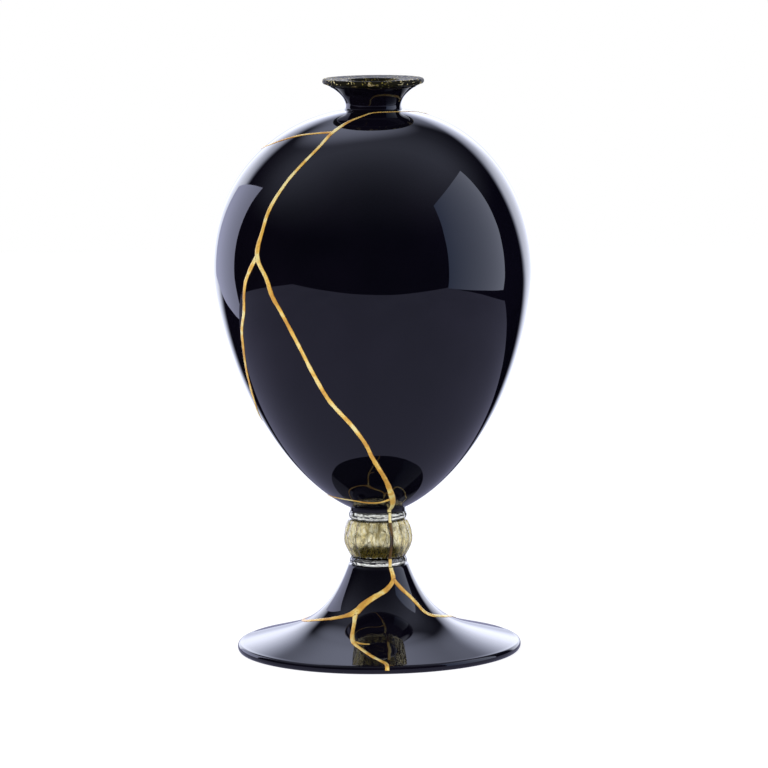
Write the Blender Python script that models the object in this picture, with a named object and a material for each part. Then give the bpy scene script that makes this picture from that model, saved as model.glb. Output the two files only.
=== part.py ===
"""A kintsugi vase: black blown glass on a gold leaf knop and a trumpet foot.

The vase stands at the world origin with its foot on z = 0 and its front towards -Y.
Heights are worked out upwards from the table, so a taller foot or knop lifts whatever
stands on it. The gold seams are laid on the same outlines as the glass that they mend,
so they follow every change of those outlines.
"""

import math

import bmesh
import bpy
from mathutils import Matrix, Vector

MM = 0.001

# The foot, a disc that flares up into a stem and is hollow below
FOOT_RADIUS = 79.3 * MM
FOOT_HEIGHT = 48.0 * MM
FOOT_STEM_RADIUS = 16.9 * MM
FOOT_RIM_THICKNESS = 4.6 * MM
FOOT_RIM_ROUNDING = 1.7 * MM
FOOT_RING_WIDTH = 3.4 * MM
FOOT_WALL = 3.4 * MM
FOOT_HOLLOW_HEIGHT = 30.0 * MM
FOOT_HOLLOW_SETBACK = 0.6 * MM
FOOT_DISC_SLOPE = 0.26
FOOT_FLARE_POWER = 5.2
FOOT_CROWN_POWER = 6

# The two clear collars
LOWER_COLLAR_RADIUS = 16.1 * MM
LOWER_COLLAR_HEIGHT = 4.7 * MM
UPPER_COLLAR_RADIUS = 16.4 * MM
UPPER_COLLAR_HEIGHT = 5.0 * MM
COLLAR_ROUNDING = 1.3 * MM

# The knop between them
KNOP_HEIGHT = 20.3 * MM
KNOP_BOTTOM_RADIUS = 15.5 * MM
KNOP_TOP_RADIUS = 16.8 * MM
KNOP_BULGE = 3.4 * MM
KNOP_RIB_DEPTH = 0.9 * MM
KNOP_RIBS = 16

# The bowl, an egg with its point down, and the neck on it
BOWL_RADIUS = 89.0 * MM
BOWL_WIDEST_HEIGHT = 134.1 * MM
BOWL_CROWN_HEIGHT = 224.4 * MM
BOWL_BASE_RADIUS = 15.6 * MM
BOWL_TIP_DEPTH = 2.9 * MM
BOWL_WALL = 3.0 * MM
BOWL_BASE_THICKNESS = 8.0 * MM
BOWL_SWAY = 1.8 * MM
BOWL_SWAY_POWER = 2.3
BOWL_UPPER_POWERS = (2.02, 2.18)
BOWL_LOWER_POWERS = (1.63, 1.73)
NECK_HEIGHT = 11.9 * MM
NECK_RADIUS = 15.8 * MM
NECK_TOP_RADIUS = 24.5 * MM
NECK_FILLET = 1.2 * MM
NECK_FLARE_POWER = 2.6

# The flat ring of the lip
LIP_RADIUS = 28.2 * MM
LIP_THICKNESS = 4.2 * MM
LIP_EDGE_THICKNESS = 3.0 * MM
LIP_DISH = 0.8 * MM
MOUTH_FLARE = 1.2 * MM

# The gold seams
SEAM_WIDTH = 2.7 * MM
SEAM_RISE = 0.5 * MM
SEAM_THINNING = 0.03 * MM
SEAM_STEP = 9.0 * MM
SEAM_TURN = 14.0
STEM_SEAM_WIDTH = 1.8 * MM
STEM_SEAM_STANDOFF = 0.45 * MM
STEM_SEAM_LONGITUDE = 24.0

# Pieces that touch keep this gap
JOINT_GAP = 0.3 * MM

# How finely the round pieces are cut
SEGMENTS = 44
SEGMENTS_PER_RIB = 4
KNOP_RINGS = 8
STEM_SEAM_STEPS = 14
SHARP_ANGLE = math.radians(42)

# Heights of the stack, from the table up
LOWER_COLLAR_Z = FOOT_HEIGHT + JOINT_GAP
KNOP_Z = LOWER_COLLAR_Z + LOWER_COLLAR_HEIGHT + JOINT_GAP
UPPER_COLLAR_Z = KNOP_Z + KNOP_HEIGHT + JOINT_GAP
BOWL_Z = UPPER_COLLAR_Z + UPPER_COLLAR_HEIGHT + JOINT_GAP
LIP_Z = BOWL_Z + BOWL_CROWN_HEIGHT + NECK_HEIGHT + JOINT_GAP

# The courses of the seams, chosen by eye: the longitude in degrees from the front,
# positive to the right, the place on the outline, and the width as a share of
# SEAM_WIDTH. On the bowl the place is a latitude in degrees, 0 at the widest and 90 at
# the crown. On the foot it is the share of the way from the rim up to the stem.
BOWL_MAIN_SEAM = [
    (192, -66.0, 1.00), (186, -56.0, 0.90), (180, -42.0, 0.90), (184, -28.0, 1.20),
    (176, -12.0, 0.90), (165, 3.0, 0.85), (157, 18.0, 0.85), (160, 34.0, 1.15),
    (144, 52.0, 0.75), (122, 66.0, 0.65), (88, 74.0, 0.55), (52, 78.5, 0.45),
    (20, 79.8, 0.50), (-2, 79.0, 0.55), (-14, 75.0, 0.60), (-23, 70.0, 0.70),
    (-29, 62.0, 0.95), (-31, 54.0, 0.80), (-34, 47.5, 0.80), (-39, 37.5, 0.85),
    (-43, 25.5, 0.90), (-44, 17.5, 0.90), (-45, 7.5, 1.25), (-41, 1.0, 0.95),
    (-38.5, -3.5, 1.20), (-35, -7.0, 0.95), (-30, -14.0, 0.90), (-25, -21.0, 0.95),
    (-20, -28.0, 1.00), (-12, -34.5, 0.95), (-6, -40.5, 0.90), (-3, -45.0, 0.95),
    (1, -49.5, 0.95), (6, -54.5, 1.00), (12, -61.0, 1.20), (18, -67.0, 1.25),
    (23, -73.0, 1.00),
]
BOWL_SHOULDER_SEAM = [
    (-29, 62.0, 0.75), (-41, 61.0, 0.60), (-55, 59.0, 0.60), (-66, 56.0, 0.60),
    (-80, 52.0, 0.65), (-104, 47.0, 0.70), (-128, 40.0, 0.75), (-156, 37.0, 0.80),
    (-180, 35.0, 0.75), (-200, 34.0, 0.85),
]
BOWL_FLANK_SEAM = [
    (-45, 7.5, 1.10), (-49, 2.5, 0.95), (-52, -2.0, 0.85), (-54, -7.0, 0.85),
    (-58, -11.5, 0.85), (-61, -16.5, 0.85), (-65, -22.0, 0.85), (-69, -27.0, 0.90),
    (-76, -32.5, 0.90), (-92, -38.0, 0.85), (-116, -41.0, 0.80), (-144, -38.0, 0.85),
    (-162, -34.0, 0.90), (-176, -28.0, 1.00),
]
BOWL_BASE_SEAM = [
    (16, -65.0, 0.90), (4, -67.5, 0.60), (-8, -68.0, 0.55), (-20, -67.5, 0.50),
    (-34, -66.5, 0.50), (-70, -66.0, 0.50), (-120, -67.0, 0.50), (-168, -66.0, 0.60),
]
FOOT_LEFT_SEAM = [
    (24, 0.995, 0.90), (25, 0.960, 1.00), (12, 0.920, 1.00), (-7, 0.881, 1.25),
    (-19, 0.840, 1.60), (-26, 0.790, 1.70), (-36, 0.757, 1.05), (-52, 0.715, 0.85),
    (-70, 0.668, 0.80), (-95, 0.580, 0.80), (-122, 0.500, 0.80), (-146, 0.380, 0.85),
    (-158, 0.220, 0.80), (-170, 0.060, 0.85), (-172, 0.0, 0.85), (-172, -0.17, 0.85),
    (-172, -0.34, 0.85), (-172, -0.50, 0.85),
]
FOOT_RIGHT_SEAM = [
    (25, 0.960, 1.00), (36, 0.915, 0.90), (45, 0.874, 0.90), (51, 0.822, 1.00),
    (54, 0.770, 1.05), (60, 0.728, 0.90), (74, 0.690, 0.80), (98, 0.620, 0.80),
    (120, 0.500, 0.80), (132, 0.330, 0.80), (148, 0.140, 0.80), (152, 0.0, 0.85),
    (152, -0.17, 0.85), (152, -0.34, 0.85), (152, -0.50, 0.85),
]
FOOT_FRONT_SEAM = [
    (-26, 0.790, 1.20), (-23, 0.693, 0.85), (-20, 0.560, 0.85), (-16, 0.443, 0.95),
    (-9, 0.315, 0.85), (-3, 0.180, 0.85), (2, 0.060, 0.90), (3, 0.0, 0.90),
    (3, -0.17, 0.90), (3, -0.34, 0.90), (3, -0.50, 0.90),
]
FOOT_SPUR_SEAM = [
    (-17, 0.470, 0.60), (-11, 0.435, 0.50), (-6, 0.430, 0.35),
]


def clear_scene():
    """Remove the objects that the scene starts with."""
    for thing in list(bpy.data.objects):
        bpy.data.objects.remove(thing)


def lerp(start, end, share):
    """Return the value that lies the given share of the way from start to end."""
    return start + (end - start) * share


def finish(name, colour, roughness, metallic=0.0, transmission=0.0):
    """Make a material from its colour and its few plain values."""
    material = bpy.data.materials.new(name)
    material.use_nodes = True
    shader = material.node_tree.nodes["Principled BSDF"]
    shader.inputs["Base Color"].default_value = (*colour, 1.0)
    shader.inputs["Roughness"].default_value = roughness
    shader.inputs["Metallic"].default_value = metallic
    shader.inputs["IOR"].default_value = 1.5
    shader.inputs["Transmission Weight"].default_value = transmission
    return material


def add_piece(name, bm, height, material, parent):
    """Turn a bmesh into a named object, shaded smooth between its sharp edges."""
    bmesh.ops.recalc_face_normals(bm, faces=bm.faces)
    mesh = bpy.data.meshes.new(name)
    bm.to_mesh(mesh)
    bm.free()
    mesh.shade_smooth()
    mesh.set_sharp_from_angle(angle=SHARP_ANGLE)
    mesh.materials.append(material)
    piece = bpy.data.objects.new(name, mesh)
    piece.location.z = height
    piece.parent = parent
    bpy.context.collection.objects.link(piece)
    return piece


def spin_outline(outline, segments, closed=False):
    """Spin (radius, height) points about the Z axis into one closed skin.

    An outline that isn't closed starts and ends on the axis.
    """
    bm = bmesh.new()
    verts = [bm.verts.new((radius, 0.0, height)) for radius, height in outline]
    edges = [bm.edges.new(pair) for pair in zip(verts, verts[1:])]
    if closed:
        edges.append(bm.edges.new((verts[-1], verts[0])))
    bmesh.ops.spin(
        bm, geom=verts + edges, cent=(0, 0, 0), axis=(0, 0, 1),
        angle=math.tau, steps=segments, use_merge=True,
    )
    bmesh.ops.remove_doubles(bm, verts=bm.verts, dist=0.01 * MM)
    return bm


def rounded_edge(radius, bottom, top, rounding, steps):
    """Return the points of a rounded rim, from its top edge to its bottom edge."""
    half = (top - bottom) / 2
    points = []
    for step in range(steps + 1):
        turn = math.radians(90 - 180 * step / steps)
        inset = rounding * (1 - math.cos(turn))
        points.append((radius - inset, bottom + half + half * math.sin(turn)))
    return points


def foot_top(radius):
    """Return the height and the slope of the foot's upper side at a radius."""
    edge = FOOT_RADIUS - FOOT_RIM_ROUNDING
    run = edge - FOOT_STEM_RADIUS
    share = (edge - radius) / run
    flare = FOOT_HEIGHT - FOOT_RIM_THICKNESS - FOOT_DISC_SLOPE * run
    height = FOOT_RIM_THICKNESS + FOOT_DISC_SLOPE * (edge - radius)
    height += flare * share ** FOOT_FLARE_POWER
    slope = FOOT_DISC_SLOPE + flare * FOOT_FLARE_POWER / run * share ** (FOOT_FLARE_POWER - 1)
    return height, slope


def foot_outline(place):
    """Return the foot's radius and height at a place: -1 table, 0 rim's top, 1 stem."""
    edge = FOOT_RADIUS - FOOT_RIM_ROUNDING
    if place >= 0:
        radius = lerp(edge, FOOT_STEM_RADIUS, place)
        return radius, foot_top(radius)[0]
    turn = math.radians(90 + 180 * place)
    half = FOOT_RIM_THICKNESS / 2
    return edge + FOOT_RIM_ROUNDING * math.cos(turn), half + half * math.sin(turn)


def foot_hollow(radius):
    """Return the height of the foot's hollow at a radius, rounded off at its crown."""
    height, slope = foot_top(radius)
    under = height - FOOT_WALL * math.hypot(1, slope)
    ratio = under / FOOT_HOLLOW_HEIGHT
    return under / (1 + ratio ** FOOT_CROWN_POWER) ** (1 / FOOT_CROWN_POWER)


def make_foot(material, parent):
    """Make the trumpet foot, which rests on a flat ring inside its rim."""
    stem_steps, rim_steps, hollow_steps = 14, 4, 7
    outline = [(0.0, FOOT_HEIGHT)]
    for step in range(stem_steps):
        outline.append(foot_outline((1 - step / stem_steps) ** 0.8))
    outline += [foot_outline(-step / rim_steps) for step in range(rim_steps + 1)]
    ring_edge = FOOT_RADIUS - FOOT_RIM_ROUNDING - FOOT_RING_WIDTH
    outline.append((ring_edge, 0.0))
    for step in range(hollow_steps + 1):
        radius = (ring_edge - FOOT_HOLLOW_SETBACK) * (1 - step / hollow_steps)
        outline.append((radius, foot_hollow(radius)))
    return add_piece("foot", spin_outline(outline, SEGMENTS), 0.0, material, parent)


def make_collar(name, radius, thickness, height, material, parent):
    """Make one clear collar, a flat disc with a rounded edge."""
    outline = [(0.0, thickness)]
    outline += rounded_edge(radius, 0.0, thickness, COLLAR_ROUNDING, 3)
    outline.append((0.0, 0.0))
    return add_piece(name, spin_outline(outline, SEGMENTS), height, material, parent)


def knop_radius(share):
    """Return the knop's radius over its ribs, from its bottom at 0 to its top at 1."""
    ends = lerp(KNOP_BOTTOM_RADIUS, KNOP_TOP_RADIUS, share)
    return ends + KNOP_BULGE * math.sin(math.pi * share)


def knop_groove(share, longitude):
    """Return how deep the knop's surface lies below its ribs at a place."""
    turn = math.radians(longitude - STEM_SEAM_LONGITUDE) * KNOP_RIBS
    return KNOP_RIB_DEPTH * math.sin(math.pi * share) * (1 + math.cos(turn)) / 2


def make_knop(material, parent):
    """Make the knop and press grooves between its ribs, one of them under the seam."""
    outline = [(0.0, KNOP_HEIGHT)]
    for ring in range(KNOP_RINGS + 1):
        share = 1 - ring / KNOP_RINGS
        outline.append((knop_radius(share), KNOP_HEIGHT * share))
    outline.append((0.0, 0.0))
    bm = spin_outline(outline, KNOP_RIBS * SEGMENTS_PER_RIB)
    turn = Matrix.Rotation(math.radians(STEM_SEAM_LONGITUDE - 90), 3, "Z")
    bmesh.ops.rotate(bm, verts=bm.verts, cent=(0, 0, 0), matrix=turn)
    for vert in bm.verts:
        radius = math.hypot(vert.co.x, vert.co.y)
        if radius > 0:
            longitude = math.degrees(math.atan2(vert.co.x, -vert.co.y))
            kept = 1 - knop_groove(vert.co.z / KNOP_HEIGHT, longitude) / radius
            vert.co.x *= kept
            vert.co.y *= kept
    return add_piece("knop", bm, KNOP_Z, material, parent)


def egg_point(latitude, radius, rise, drop):
    """Return the radius and height of the bowl's egg at a latitude.

    The height counts from the widest ring, the rise goes up to the crown's tip and the
    drop down to the lower tip.
    """
    share = abs(math.sin(math.radians(latitude)))
    first, second = BOWL_UPPER_POWERS if latitude >= 0 else BOWL_LOWER_POWERS
    height = rise * share if latitude >= 0 else -drop * share
    return radius * (1 - share ** first) ** (1 / second), height


def egg_latitude(ring, radius, powers):
    """Return the latitude at which an egg of this radius has narrowed to the ring."""
    share = (1 - (ring / radius) ** powers[1]) ** (1 / powers[0])
    return math.degrees(math.asin(share))


def bowl_outline(latitude):
    """Return the bowl's outer radius and its height over its base at a latitude.

    The egg's lower tip would lie below the base, which cuts it off on the collar.
    """
    rise = BOWL_CROWN_HEIGHT - BOWL_WIDEST_HEIGHT
    drop = BOWL_WIDEST_HEIGHT + BOWL_TIP_DEPTH
    radius, height = egg_point(latitude, BOWL_RADIUS, rise, drop)
    return max(radius, BOWL_BASE_RADIUS), BOWL_WIDEST_HEIGHT + height


def bowl_sway(height):
    """Return how far the bowl's centre line leans to the side at a height."""
    share = min(max(height / BOWL_CROWN_HEIGHT, 0.0), 1.0)
    return -BOWL_SWAY * math.sin(math.pi * share ** BOWL_SWAY_POWER)


def neck_point(share):
    """Return the neck's outer radius and height, from the shoulder at 0 to the lip at 1."""
    radius = lerp(NECK_RADIUS, NECK_TOP_RADIUS, share ** NECK_FLARE_POWER)
    return radius, BOWL_CROWN_HEIGHT + NECK_HEIGHT * share


def bore_radius(share):
    """Return the radius of the neck's bore, which widens a little towards the lip."""
    return NECK_RADIUS - BOWL_WALL + MOUTH_FLARE * share ** 3


def bowl_outside():
    """Return the bowl's outer outline, from the neck's top to the middle of its base."""
    neck_steps, upper_steps, lower_steps = 4, 8, 8
    outline = [neck_point(1 - step / neck_steps) for step in range(neck_steps + 1)]
    corner = NECK_RADIUS + NECK_FILLET
    top = egg_latitude(corner, BOWL_RADIUS, BOWL_UPPER_POWERS)
    bottom = egg_latitude(BOWL_BASE_RADIUS, BOWL_RADIUS, BOWL_LOWER_POWERS)
    outline += [bowl_outline(top * (1 - step / upper_steps)) for step in range(upper_steps)]
    outline += [bowl_outline(-bottom * step / lower_steps) for step in range(lower_steps + 1)]
    return outline + [(BOWL_BASE_RADIUS, 0.0), (0.0, 0.0)]


def bowl_inside():
    """Return the bowl's inner outline, from the middle of its floor to the neck's top."""
    upper_steps, lower_steps, bore_steps = 5, 6, 1
    radius = BOWL_RADIUS - BOWL_WALL
    rise = BOWL_CROWN_HEIGHT - BOWL_WIDEST_HEIGHT - BOWL_WALL
    drop = BOWL_WIDEST_HEIGHT - BOWL_BASE_THICKNESS
    top = egg_latitude(bore_radius(0), radius, BOWL_UPPER_POWERS)
    latitudes = [-90 + 90 * step / lower_steps for step in range(lower_steps)]
    latitudes += [top * step / upper_steps for step in range(upper_steps + 1)]
    outline = []
    for latitude in latitudes:
        ring, height = egg_point(latitude, radius, rise, drop)
        outline.append((ring, BOWL_WIDEST_HEIGHT + height))
    for step in range(bore_steps + 1):
        share = step / bore_steps
        outline.append((bore_radius(share), neck_point(share)[1]))
    return outline


def make_bowl(material, parent):
    """Make the hollow bowl with its neck, and lean its centre line."""
    outside = bowl_outside()
    inside = bowl_inside()
    bm = spin_outline(outside + inside, SEGMENTS, closed=True)
    for vert in bm.verts:
        vert.co.x += bowl_sway(vert.co.z)
    return add_piece("bowl", bm, BOWL_Z, material, parent)


def make_lip(material, parent):
    """Make the flat ring of the lip, which lies on the neck's top."""
    mouth = bore_radius(1)
    under_edge = LIP_THICKNESS - LIP_EDGE_THICKNESS
    rounding = LIP_EDGE_THICKNESS / 2
    outline = [(mouth, 0.0), (mouth, LIP_THICKNESS - LIP_DISH - rounding)]
    outline.append((mouth + rounding, LIP_THICKNESS - LIP_DISH))
    edge = rounded_edge(LIP_RADIUS, under_edge, LIP_THICKNESS, rounding, 3)
    outline += edge + [(NECK_TOP_RADIUS, 0.0)]
    return add_piece(
        "lip_wrap", spin_outline(outline, SEGMENTS, closed=True), LIP_Z, material, parent,
    )


def stem_outline(place):
    """Return the radius and height of collars and knop, bottom 0 to top 1, in the groove."""
    height = lerp(LOWER_COLLAR_Z, UPPER_COLLAR_Z + UPPER_COLLAR_HEIGHT, place)
    if height < KNOP_Z:
        return LOWER_COLLAR_RADIUS, height
    if height > UPPER_COLLAR_Z:
        return UPPER_COLLAR_RADIUS, height
    share = min((height - KNOP_Z) / KNOP_HEIGHT, 1.0)
    return knop_radius(share) - knop_groove(share, STEM_SEAM_LONGITUDE), height


def surface_point(outline, longitude, place):
    """Return the point of a spun outline at a longitude and a place along it."""
    radius, height = outline(place)
    turn = math.radians(longitude)
    sway = bowl_sway(height) if outline is bowl_outline else 0.0
    return Vector((radius * math.sin(turn) + sway, -radius * math.cos(turn), height))


def surface_normal(outline, longitude, place, nudge):
    """Return the way out of a spun outline, from points a nudge away on each side."""
    east = surface_point(outline, longitude + 1, place) - surface_point(outline, longitude - 1, place)
    up = surface_point(outline, longitude, place + nudge) - surface_point(outline, longitude, place - nudge)
    return east.cross(up).normalized()


def smooth_course(points, outline):
    """Return a course's points with more between them, on a curve through all of them."""
    first = [2 * a - b for a, b in zip(points[0], points[1])]
    last = [2 * a - b for a, b in zip(points[-1], points[-2])]
    padded = [first, *points, last]
    course = []
    for before, start, end, after in zip(padded, padded[1:], padded[2:], padded[3:]):
        chord = surface_point(outline, *end[:2]) - surface_point(outline, *start[:2])
        turn = abs(end[0] - start[0])
        steps = max(1, round(chord.length / SEAM_STEP), math.ceil(turn / SEAM_TURN))
        for step in range(steps):
            t = step / steps
            course.append([
                b + t / 2 * (c - a + t * (2 * a - 5 * b + 4 * c - d + t * (3 * b - a - 3 * c + d)))
                for a, b, c, d in zip(before, start, end, after)
            ])
    return course + [list(points[-1])]


def ribbon(course, outline, nudge, width, rise, standoff):
    """Lay a flat ribbon of metal along a course on a spun outline, as a closed skin."""
    centres = [surface_point(outline, longitude, place) for longitude, place, _ in course]
    bm = bmesh.new()
    rings = []
    for index, (longitude, place, share) in enumerate(course):
        normal = surface_normal(outline, longitude, place, nudge)
        ahead = centres[min(index + 1, len(centres) - 1)] - centres[max(index - 1, 0)]
        side = normal.cross(ahead).normalized() * width * share / 2
        low = centres[index] + normal * standoff
        high = low + normal * rise
        corners = (low - side, low + side, high + side * 0.6, high - side * 0.6)
        rings.append([bm.verts.new(corner) for corner in corners])
    for ring, following in zip(rings, rings[1:]):
        for index in range(4):
            beside = (index + 1) % 4
            bm.faces.new((ring[index], ring[beside], following[beside], following[index]))
    bm.faces.new(rings[0])
    bm.faces.new(reversed(rings[-1]))
    return bm


def make_seam(name, courses, outline, nudge, height, material, parent):
    """Make one seam: its first course, with the branches fused to it.

    Each branch is a little thinner than the course before it, at the top and below, so
    no two of their faces lie in one plane where they cross.
    """
    trunk = None
    for index, points in enumerate(courses):
        thinning = SEAM_THINNING * index
        bm = ribbon(
            smooth_course(points, outline), outline, nudge, SEAM_WIDTH,
            SEAM_RISE - 2 * thinning, JOINT_GAP + thinning,
        )
        if trunk is None:
            trunk = add_piece(name, bm, height, material, parent)
            continue
        branch = add_piece(f"{name}_branch_{index}", bm, height, material, parent)
        branch.hide_render = True
        branch.display_type = "WIRE"
        fuse = trunk.modifiers.new(f"branch {index}", "BOOLEAN")
        fuse.operation = "UNION"
        fuse.solver = "EXACT"
        fuse.object = branch
    return trunk


def make_stem_seam(material, parent):
    """Make the seam where it crosses the collars and the knop, straight up a groove."""
    places = [step / STEM_SEAM_STEPS for step in range(STEM_SEAM_STEPS + 1)]
    course = [(STEM_SEAM_LONGITUDE, place, 1.0) for place in places]
    bm = ribbon(course, stem_outline, 0.02, STEM_SEAM_WIDTH, SEAM_RISE, STEM_SEAM_STANDOFF)
    return add_piece("seam_stem", bm, 0.0, material, parent)


def main():
    """Build every piece of the vase under one empty."""
    clear_scene()
    vase = bpy.data.objects.new("vase", None)
    bpy.context.collection.objects.link(vase)
    seam_gold = finish("seam_gold", (0.72, 0.50, 0.19), 0.35, metallic=1.0)
    make_foot(finish("foot_black_glass", (0.008, 0.008, 0.015), 0.04), vase)
    make_collar(
        "lower_collar", LOWER_COLLAR_RADIUS, LOWER_COLLAR_HEIGHT, LOWER_COLLAR_Z,
        finish("lower_clear_glass", (0.92, 0.94, 0.95), 0.03, transmission=1.0), vase,
    )
    make_knop(finish("knop_gold_leaf", (0.80, 0.66, 0.36), 0.28, metallic=0.8), vase)
    make_collar(
        "upper_collar", UPPER_COLLAR_RADIUS, UPPER_COLLAR_HEIGHT, UPPER_COLLAR_Z,
        finish("upper_clear_glass", (0.92, 0.94, 0.95), 0.03, transmission=1.0), vase,
    )
    make_bowl(finish("bowl_black_glass", (0.008, 0.008, 0.015), 0.04), vase)
    make_lip(finish("lip_flecked_glass", (0.16, 0.14, 0.07), 0.15), vase)
    bowl_courses = [BOWL_MAIN_SEAM, BOWL_SHOULDER_SEAM, BOWL_FLANK_SEAM, BOWL_BASE_SEAM]
    foot_courses = [FOOT_LEFT_SEAM, FOOT_RIGHT_SEAM, FOOT_FRONT_SEAM, FOOT_SPUR_SEAM]
    make_seam("seam_bowl", bowl_courses, bowl_outline, 0.5, BOWL_Z, seam_gold, vase)
    make_stem_seam(seam_gold, vase)
    make_seam("seam_foot", foot_courses, foot_outline, 0.005, 0.0, seam_gold, vase)


main()
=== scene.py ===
"""The finished surfaces of a kintsugi vase, laid over its solid pieces.

The vase is black blown glass: an egg-shaped bowl with a short neck, on a trumpet foot.
Between them sits a knop of gold leaf under clear ribbed glass, with a clear collar above
and below it. The lip is a ring of glass flecked with gold. Gold seams mend the breaks.
Each class makes one of these pieces from its sizes, where its solid piece stands.
"""

import logging
import math
from dataclasses import dataclass
from enum import Enum
from functools import lru_cache
from typing import Protocol

import bmesh
import bpy
from mathutils import Matrix, Vector


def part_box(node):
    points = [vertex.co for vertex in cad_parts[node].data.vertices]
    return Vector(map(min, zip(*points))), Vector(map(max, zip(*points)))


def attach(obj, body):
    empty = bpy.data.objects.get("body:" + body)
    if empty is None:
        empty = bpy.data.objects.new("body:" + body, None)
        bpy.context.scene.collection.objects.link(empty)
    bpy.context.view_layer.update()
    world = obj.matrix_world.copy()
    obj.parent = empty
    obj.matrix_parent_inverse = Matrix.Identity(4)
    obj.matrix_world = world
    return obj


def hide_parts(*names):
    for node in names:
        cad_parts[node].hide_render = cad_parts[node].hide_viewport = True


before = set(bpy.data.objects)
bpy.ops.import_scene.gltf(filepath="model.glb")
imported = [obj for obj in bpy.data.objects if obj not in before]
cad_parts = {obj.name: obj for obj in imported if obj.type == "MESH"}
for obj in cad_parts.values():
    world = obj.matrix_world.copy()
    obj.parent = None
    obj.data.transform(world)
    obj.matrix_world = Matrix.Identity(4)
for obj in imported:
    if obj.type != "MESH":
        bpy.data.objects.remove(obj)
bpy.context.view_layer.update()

log = logging.getLogger("vase")

MM = 0.001
BODY = "root"
MELT = 0.05 * MM
TOUCH = 0.01 * MM
SAME_POINT = 0.001 * MM
SHARP_ANGLE = math.radians(50)

Colour = tuple[float, float, float]
Station = tuple[float, float]
CoursePoint = tuple[float, float, float]
Place = tuple[float, float, float]

# The courses of the seams: the longitude in degrees from the front, positive to the
# right, the place on the outline, and the width as a share of the seam's width. On the
# bowl the place is a latitude in degrees. On the foot it is the share of the way from
# the rim up to the stem.
BOWL_MAIN_COURSE: list[CoursePoint] = [
    (192, -66.0, 1.00), (186, -56.0, 0.90), (180, -42.0, 0.90), (184, -28.0, 1.20),
    (176, -12.0, 0.90), (165, 3.0, 0.85), (157, 18.0, 0.85), (160, 34.0, 1.15),
    (144, 52.0, 0.75), (122, 66.0, 0.65), (88, 76.0, 0.45), (52, 79.0, 0.38),
    (20, 79.8, 0.45), (-2, 79.0, 0.50), (-14, 75.0, 0.60), (-23, 70.0, 0.70),
    (-29, 62.0, 0.95), (-31, 54.0, 0.80), (-34, 47.5, 0.80), (-39, 37.5, 0.85),
    (-43, 26.5, 0.90), (-44, 18.5, 0.90), (-45, 9.5, 1.20), (-40.5, 2.5, 0.95),
    (-38, -2.5, 1.10), (-34.5, -6.5, 0.95), (-29.5, -13.5, 0.90), (-25, -21.0, 0.95),
    (-20, -28.0, 1.00), (-12, -34.5, 0.95), (-6, -40.5, 0.90), (-3, -45.0, 0.95),
    (1, -49.5, 0.95), (6, -54.5, 1.00), (12, -61.0, 1.20), (18, -67.0, 1.25),
    (23, -73.0, 1.00), (24, -76.5, 0.90), (24, -78.0, 0.85),
]
BOWL_SHOULDER_COURSE: list[CoursePoint] = [
    (-29, 62.0, 0.75), (-41, 61.0, 0.60), (-55, 59.0, 0.60), (-66, 56.0, 0.60),
    (-80, 52.0, 0.65), (-104, 47.0, 0.70), (-128, 40.0, 0.75), (-156, 37.0, 0.80),
    (-180, 35.0, 0.75), (-200, 34.0, 0.85),
]
BOWL_FLANK_COURSE: list[CoursePoint] = [
    (-45, 9.5, 1.05), (-49, 3.5, 0.95), (-52, -2.0, 0.85), (-54, -7.0, 0.85),
    (-58, -11.5, 0.85), (-61, -16.5, 0.85), (-65, -22.0, 0.85), (-69, -27.0, 0.90),
    (-76, -32.5, 0.90), (-92, -38.0, 0.85), (-116, -41.0, 0.80), (-144, -38.0, 0.85),
    (-162, -34.0, 0.90), (-176, -28.0, 1.00),
]
BOWL_BASE_COURSE: list[CoursePoint] = [
    (16, -65.0, 0.90), (4, -67.5, 0.60), (-8, -68.0, 0.55), (-20, -67.5, 0.50),
    (-34, -66.5, 0.50), (-70, -66.0, 0.50), (-120, -67.0, 0.50), (-168, -66.0, 0.60),
]
FOOT_LEFT_COURSE: list[CoursePoint] = [
    (24, 1.0, 0.90), (25, 0.960, 1.00), (12, 0.920, 1.00), (-7, 0.881, 1.25),
    (-19, 0.840, 1.60), (-26, 0.790, 1.70), (-36, 0.757, 1.05), (-52, 0.715, 0.85),
    (-70, 0.668, 0.80), (-95, 0.580, 0.80), (-122, 0.500, 0.80), (-146, 0.380, 0.85),
    (-158, 0.220, 0.80), (-170, 0.060, 0.85), (-172, 0.0, 0.85), (-172, -0.17, 0.85),
    (-172, -0.34, 0.85), (-172, -0.50, 0.85),
]
FOOT_RIGHT_COURSE: list[CoursePoint] = [
    (25, 0.960, 1.00), (36, 0.915, 0.90), (45, 0.874, 0.90), (51, 0.822, 1.00),
    (54, 0.770, 1.05), (60, 0.728, 0.90), (74, 0.690, 0.80), (98, 0.620, 0.80),
    (120, 0.500, 0.80), (132, 0.330, 0.80), (148, 0.140, 0.80), (152, 0.0, 0.85),
    (152, -0.17, 0.85), (152, -0.34, 0.85), (152, -0.50, 0.85),
]
FOOT_FRONT_COURSE: list[CoursePoint] = [
    (-26, 0.790, 1.20), (-23, 0.693, 0.85), (-20, 0.560, 0.85), (-16, 0.443, 0.95),
    (-9, 0.315, 0.85), (-3, 0.180, 0.85), (2, 0.060, 0.90), (3, 0.0, 0.90),
    (3, -0.17, 0.90), (3, -0.34, 0.90), (3, -0.50, 0.90),
]
FOOT_SPUR_COURSE: list[CoursePoint] = [
    (-17, 0.470, 0.60), (-11, 0.435, 0.50), (-6, 0.430, 0.35),
]


def lerp(start: float, end: float, share: float) -> float:
    """Return the value that lies the given share of the way from start to end."""
    return start + (end - start) * share


@lru_cache
def span_of(node: str) -> Station:
    """Return the heights of a solid piece's underside and top."""
    low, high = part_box(node)
    return low.z, high.z


def base_of(node: str) -> float:
    """Return the height of a solid piece's underside."""
    return span_of(node)[0]


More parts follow.
